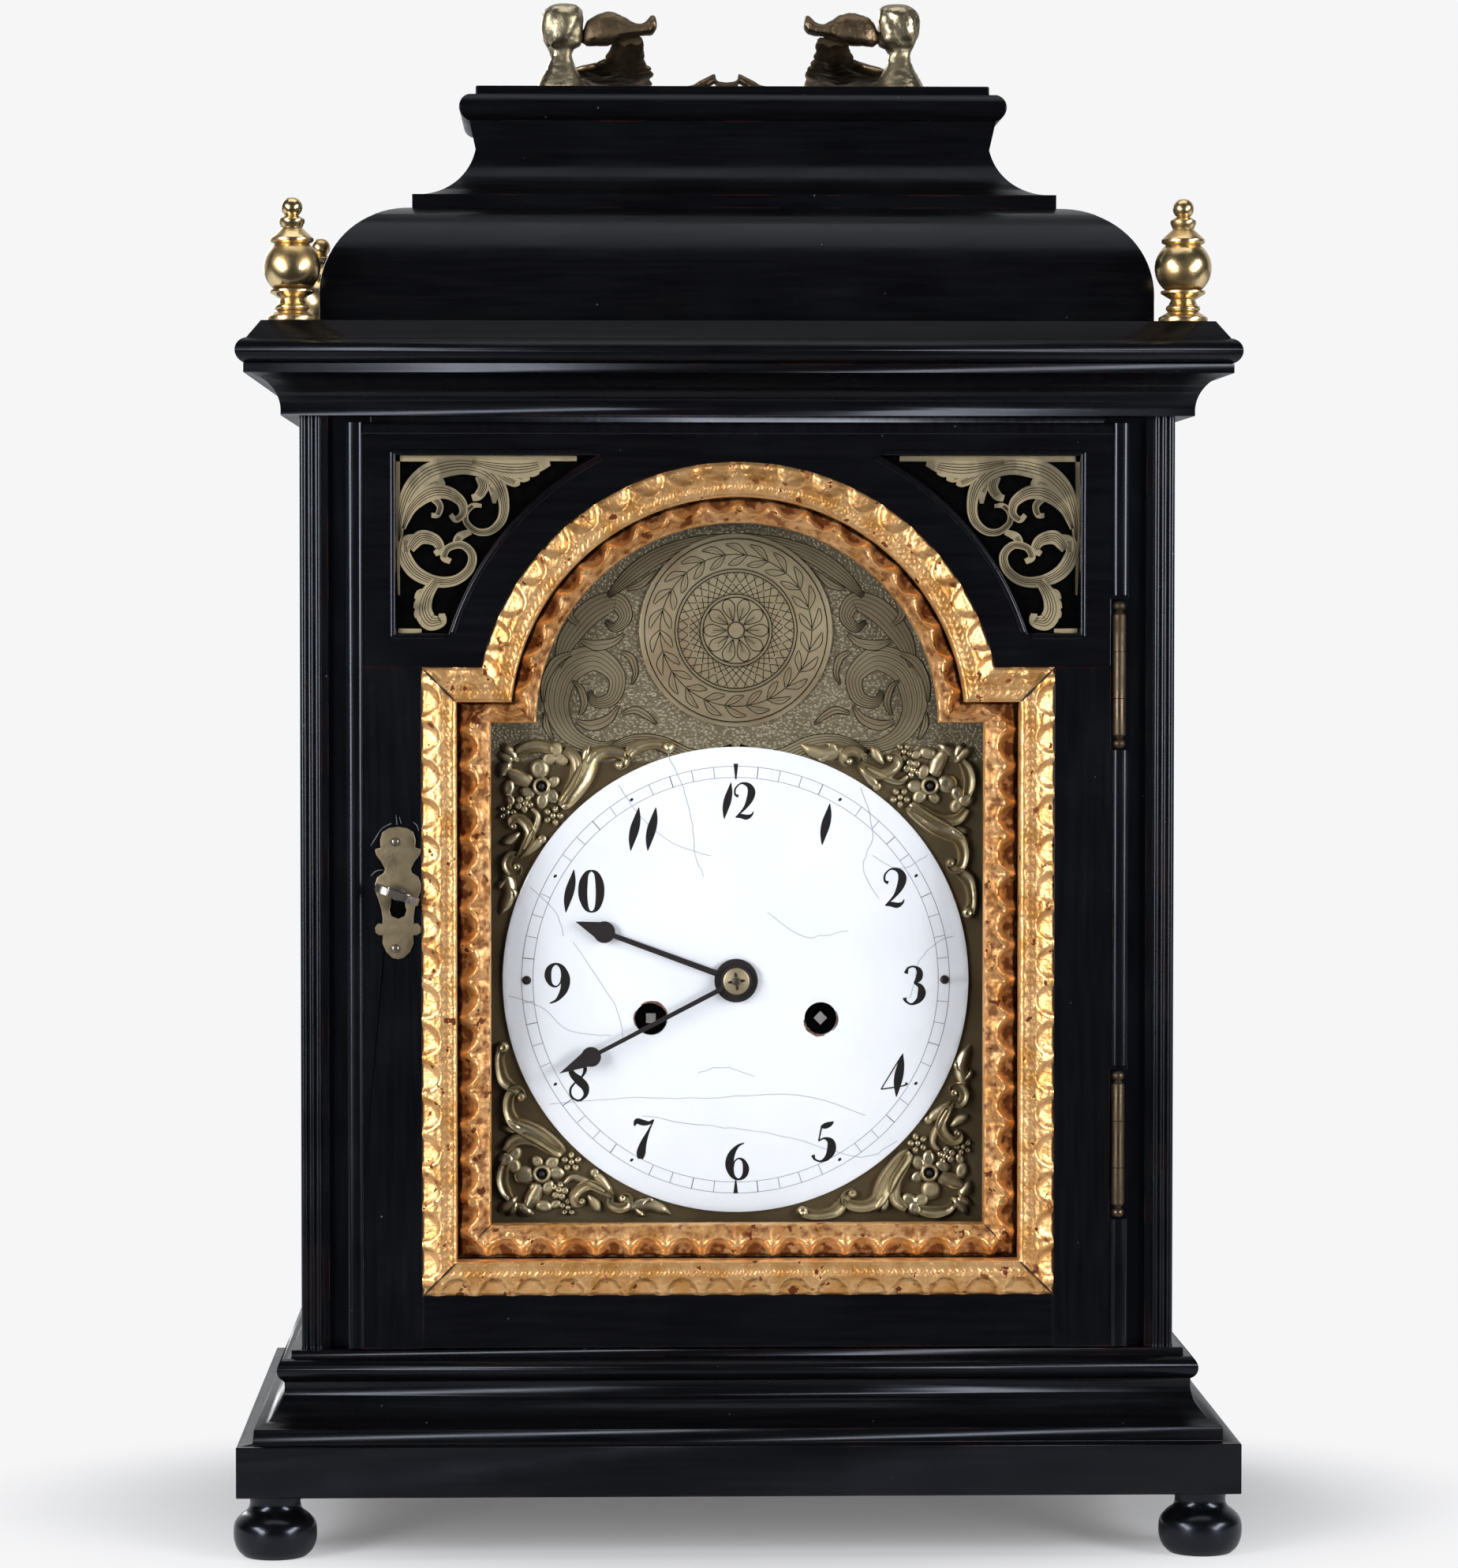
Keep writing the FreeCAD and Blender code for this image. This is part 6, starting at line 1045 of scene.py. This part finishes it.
def door_beads():
    """Half-round bead worked round the edge of the door, and a finer one round each fret window."""
    blank = Blank()
    front = level(DOOR_Y)

    def bead(x0, z0, x1, z1, wide, high, steps):
        line = ((x0, z0, wide), ((x0 + x1) / 2, (z0 + z1) / 2, wide), (x1, z1, wide))
        strap(blank, line, ROUND, high, front, None, steps)

    # On the hinge side the bead stops short of the two barrels.
    for x, z0, z1 in ((-120.9, 64.6, 357.3), (120.9, 64.6, 105), (120.9, 154, 254), (120.9, 303, 357.3)):
        bead(x, z0, x, z1, 5.0, 1.0, 12)
    bead(-118.4, 355.4, 118.4, 355.4, 3.6, 0.8, 12)
    for side in (1, -1):
        for x0, z0, x1, z1 in ((109.0, 290.0, 109.0, 348.0), (109.0, 348.0, 46.0, 348.0),
                               (109.0, 290.0, 92.6, 290.0)):
            bead(side * x0, z0, side * x1, z1, 1.9, 0.6, 6)
        arc = [(side * x, z, 1.7) for x, z in (polar(94.6, a, ARCH_Z) for a in range(18, 64, 3))]
        strap(blank, arc, ROUND, 0.5, front, None, 2)
    piece("door_edge_beads", blank, UPRIGHT_WOOD, "front_door", "ebonised_wood")


def dial_pins():
    """Two slotted screws through the enamel and a riveted pin through each spandrel flower."""
    screws, slots = Blank(), Blank()
    screw_x, pin_out = 67.2, 62.4
    face = domed(DIAL_Z, 75, -59.4, 1.6)
    for side in (1, -1):
        petal(screws, side * screw_x, DIAL_Z, 2.9, 2.9, 0, 0.9, face)
        slot = [polar(out, 35 + 80 * side, DIAL_Z) for out in (-1.2, 0, 1.2)]
        slot = [(side * screw_x + x, z, 0.45) for x, z in slot]
        # The slot is a dark strip of painted shade on the head.
        strap(slots, slot, FLAT, 0.1, lambda x, z: face(x, z) - 0.85)
        for up in (1, -1):
            petal(screws, side * pin_out, DIAL_Z + up * pin_out, 2.5, 2.5, 0, 3.3, level(PLATE_Y))
    piece("dial_screw_heads", screws, DARK_STEEL, "case", "steel", "dial_screws")
    piece("dial_screw_slots", slots, CRACK_AND_SLOT_SHADE, "case", "steel")


def sheet_piece(name, loops, front, back, soft, made, body, slot, *stands_for):
    """Flat sheet cut to outlines in x and z, its front edges eased."""
    line = bpy.data.curves.new(name, "CURVE")
    line.dimensions = "2D"
    line.fill_mode = "BOTH"
    line.extrude = ((back - front) / 2 - soft) * MM
    line.bevel_depth = soft * MM
    line.offset = -soft * MM
    for loop in loops:
        spline = line.splines.new("POLY")
        spline.points.add(len(loop) - 1)
        spline.use_cyclic_u = True
        for point, (x, z) in zip(spline.points, loop):
            point.co = (x * MM, z * MM, 0, 1)
    holder = bpy.data.objects.new(name + "_outline", line)
    sheet = bpy.data.meshes.new_from_object(holder)
    sheet.name = name
    bpy.data.objects.remove(holder)
    for vertex in sheet.vertices:
        x, z, out = vertex.co
        vertex.co = (x, (front + back) / 2 * MM - out, z)
    return settle(name, sheet, made, body, slot, *stands_for)


def escutcheon():
    """Keyhole plate sawn from sheet: round head, pointed ears, shoulders, two knobs and a round foot,
    held by two round-headed nails, with scratches beside it."""
    middle, top = -107.5, 230.1
    # Half of the outline, across from the middle and down from the top.
    half = ((0, 0.1), (2.8, 0.5), (4.9, 1.8), (5.6, 4.2), (5.4, 6.7), (7.2, 7.2), (6.9, 9), (5.2, 11.3),
            (4.1, 13.4), (4.4, 14.6), (6.5, 16), (7.2, 18.2), (7.1, 20.6), (6.1, 23.4), (5.3, 26),
            (4.9, 28.8),
            (4.9, 30.7), (6.4, 30.7), (7.25, 32), (7.1, 33.6), (6, 34.4), (4.8, 34.4), (4.9, 37),
            (3.8, 39.6),
            (1.8, 41.6), (0, 42))
    loop = [(middle + x, top - z) for x, z in half] + [(middle - x, top - z) for x, z in half[-2:0:-1]]
    keyhole = [(-109.4, 208.4), (-105.4, 208.4), (-105.2, 204.8), (-104.8, 203.6), (-105.4, 201.8),
               (-107.4, 200.9), (-109.6, 201.8), (-110.2, 203.6), (-109.8, 204.8)]
    sheet_piece("escutcheon_plate", [loop, keyhole], DOOR_Y - 1, DOOR_Y, 0.18, LOCK_BRASS, "front_door",
                "cast_brass", "escutcheon")
    nails, marks, dark = Blank(), Blank(), Blank()
    for z in (225.2, 191.5):
        petal(nails, -108.3, z, 2.7, 2.7, 0, 1.0, level(DOOR_Y - 0.95))
    piece("escutcheon_nails", nails, STEEL, "front_door", "steel")
    for line in (((-116.1, 223.9), (-114.3, 226.8), (-112.5, 229.4), (-109.6, 231.0)),
                 ((-108.1, 233.6), (-107.8, 230.6)), ((-107, 233), (-106.5, 231)),
                 ((-116.1, 214.4), (-114.3, 216), (-112.2, 216.3)),
                 ((-102.6, 231.4), (-101.4, 230.2), (-101, 228.6))):
        strap(marks, [(x, z, 0.16 + 0.12 * (k % 2)) for k, (x, z) in enumerate(line)], FLAT, 0.03,
              level(DOOR_Y))
    piece("old_plate_scratches", marks, SCRATCH, "front_door", "ebonised_wood")
    dark.close([(x, DOOR_Y - 0.1, z) for x, z in keyhole])
    piece("keyhole_shadow", dark, SHADE, "front_door", "ebonised_wood")


def feet():
    """Turned bun feet: a waisted neck under the plinth, then a full bun that narrows to the floor."""
    blank = Blank()
    swell = 13.2
    shape = smooth_line([(20, 8.7), (18.8, 8.3), (16.6, 8.0), (14.6, 8.7), (12.9, 10.8), (10.6, 12.7),
                         (7.4, swell), (4.4, 12.9), (1.8, 11.8), (0, 10)], 4)
    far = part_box("bun_feet")[1]
    for side, depth in ((1, 1), (1, -1), (-1, 1), (-1, -1)):
        x, y = side * (far[0] / MM - swell), depth * (far[1] / MM - swell)
        blank.tube([[(x + r * cos, y + r * sin, z) for cos, sin in circle(48)] for z, r in shape])
    piece("turned_feet", blank, UPRIGHT_WOOD, "case", "ebonised_wood", "bun_feet")


def dress_solids():
    """Each solid gets its material and softened arrises."""
    chosen = {name: made for made, names in LOOKS.items() for name in names.split()}
    for name, solid in nodes.items():
        made = chosen.get(name, MOVEMENT_BRASS)
        solid.data.materials.clear()
        solid.data.materials.append(made)
        for face in solid.data.polygons:
            face.use_smooth = True
        weld = solid.modifiers.new("joined_seams", "WELD")
        weld.merge_threshold = 0.002 * MM
        soft = solid.modifiers.new("soft_arris", "BEVEL")
        soft.width = (WOOD_ARRIS if made in (UPRIGHT_WOOD, LEVEL_WOOD) else METAL_ARRIS) * MM
        soft.segments = 2
        soft.limit_method = "ANGLE"
        soft.angle_limit = math.radians(38)
        if made in (TURNED_BRASS, BELL_METAL, ENAMEL, GLASS):
            soft.harden_normals = True
        else:
            flat = solid.modifiers.new("flat_faces", "WEIGHTED_NORMAL")
            flat.weight = 100


def paper_floor():
    """Pale paper under the clock that fades into the pale room."""
    rings = [(radius * cos, radius * sin, 0) for radius in (0.4, 1.0, 2.5, 12.0) for cos, sin in circle(64)]
    bands = [(64 * i + k, 64 * i + (k + 1) % 64, 64 * i + 64 + (k + 1) % 64, 64 * i + 64 + k)
             for i in range(3) for k in range(64)]
    sheet = bpy.data.meshes.new("paper_floor")
    sheet.from_pydata(rings, [], [tuple(range(64))] + bands)
    floor = place_in_scene("paper_floor", sheet)
    made, tree, place = blank_material("white_background_paper")
    white = layered(tree, "#f3f4f6", (patches(tree, place, 300, 0.3, 0.7, 3), 1, "#eff0f2"))
    paper = add(tree, "BsdfPrincipled", {"Base Color": white, "Roughness": 0.8}).outputs[0]
    glow = add(tree, "Emission", {"Color": linear(PALE_ROOM), "Strength": 1.0}).outputs[0]
    dim = add(tree, "Emission", {"Color": linear(DIM_ROOM), "Strength": 1.0}).outputs[0]
    oval = add(tree, "Mapping", {"Vector": place, "Scale": (1, 1.6, 1)}).outputs[0]
    out = add(tree, "VectorMath", {0: oval}, operation="LENGTH").outputs["Value"]
    far = add(tree, "MapRange", {"Value": out, "From Min": 0.15, "From Max": 0.28, "To Min": 0.15,
                                 "To Max": 1.0}, interpolation_type="SMOOTHSTEP").outputs[0]
    depth = add(tree, "SeparateXYZ", {0: place}).outputs["Y"]
    near = add(tree, "MapRange", {"Value": depth, "From Min": -0.1, "From Max": -0.35}).outputs[0]
    ray = add(tree, "LightPath").outputs
    # The paper ends just in front of the clock, so polished wood mirrors a dim room there.
    for kind, share, over in (("Is Glossy Ray", near, dim), ("Is Camera Ray", far, glow)):
        shown = add(tree, "Math", {0: ray[kind], 1: share}, operation="MULTIPLY").outputs[0]
        paper = add(tree, "MixShader", {0: shown, 1: paper, 2: over}).outputs[0]
    add(tree, "OutputMaterial", {"Surface": paper})
    sheet.materials.append(made)


def soft_lights():
    """Two tall soft lights in front, and dim ones above and behind: place, target, size in m, watts."""
    for name, where, target, wide, tall, watts in (
            ("left_soft_light", (-1.2, -1.2, 0.55), (0, 0, 0.22), 0.4, 1.2, 26),
            ("right_soft_light", (1.3, -1.1, 0.55), (0, 0, 0.22), 0.4, 1.2, 24.5),
            ("top_soft_light", (0, -0.1, 1.7), (0, 0.05, 0.2), 1.4, 1.0, 5.5),
            ("back_soft_light", (-0.9, 1.7, 0.9), (0, 0, 0.25), 0.5, 1.0, 9)):
        lamp = bpy.data.lights.new(name, "AREA")
        lamp.shape = "RECTANGLE"
        lamp.size, lamp.size_y = wide, tall
        lamp.energy = watts
        holder = place_in_scene(name, lamp)
        holder.location = where
        holder.rotation_euler = (Vector(target) - Vector(where)).to_track_quat("-Z", "Z").to_euler()


def pale_room():
    """World that the camera sees as pale paper and that polish mirrors as a room."""
    sky = bpy.data.worlds.new("room")
    sky.use_nodes = True
    tree = sky.node_tree
    tree.nodes.clear()
    ray = add(tree, "LightPath").outputs
    way = add(tree, "SeparateXYZ", {0: add(tree, "TexCoord").outputs["Generated"]}).outputs["Y"]
    behind = add(tree, "MapRange", {"Value": way, "From Min": 0.3, "From Max": 0.75}).outputs[0]
    # Polish mirrors the pale wall behind the clock, and a dim room on its other sides.
    mirrored = layered(tree, DIM_ROOM, (behind, 1, "#c9cacd"))
    room = layered(tree, "#75777c", (ray["Is Glossy Ray"], 1, mirrored),
                   (ray["Is Camera Ray"], 1, PALE_ROOM))
    air = add(tree, "Background", {"Color": room, "Strength": 1.0})
    add(tree, "OutputWorld", {"Surface": air.outputs[0]})
    bpy.context.scene.world = sky


def camera():
    """Camera where the photograph was taken from."""
    lens = bpy.data.cameras.new("camera")
    lens.lens = 107.8
    lens.sensor_width = 36
    lens.shift_x, lens.shift_y = 0.0299, -0.0146
    view = place_in_scene("camera", lens)
    view.location = (-0.0498, -1.5662, 0.2984)
    view.rotation_euler = (math.radians(90 - 1.846), 0, math.radians(-1.237))
    bpy.context.scene.camera = view
    bpy.context.scene.view_settings.view_transform = "Standard"


dress_solids()
gilt_frames()
sound_frets()
spandrels()
dial_engraving()
boss_engraving()
dial_painting()
collet_slots()
winding_holes()
dial_pins()
escutcheon()
door_beads()
feet()
pillars()
handle()
paper_floor()
soft_lights()
pale_room()
camera()
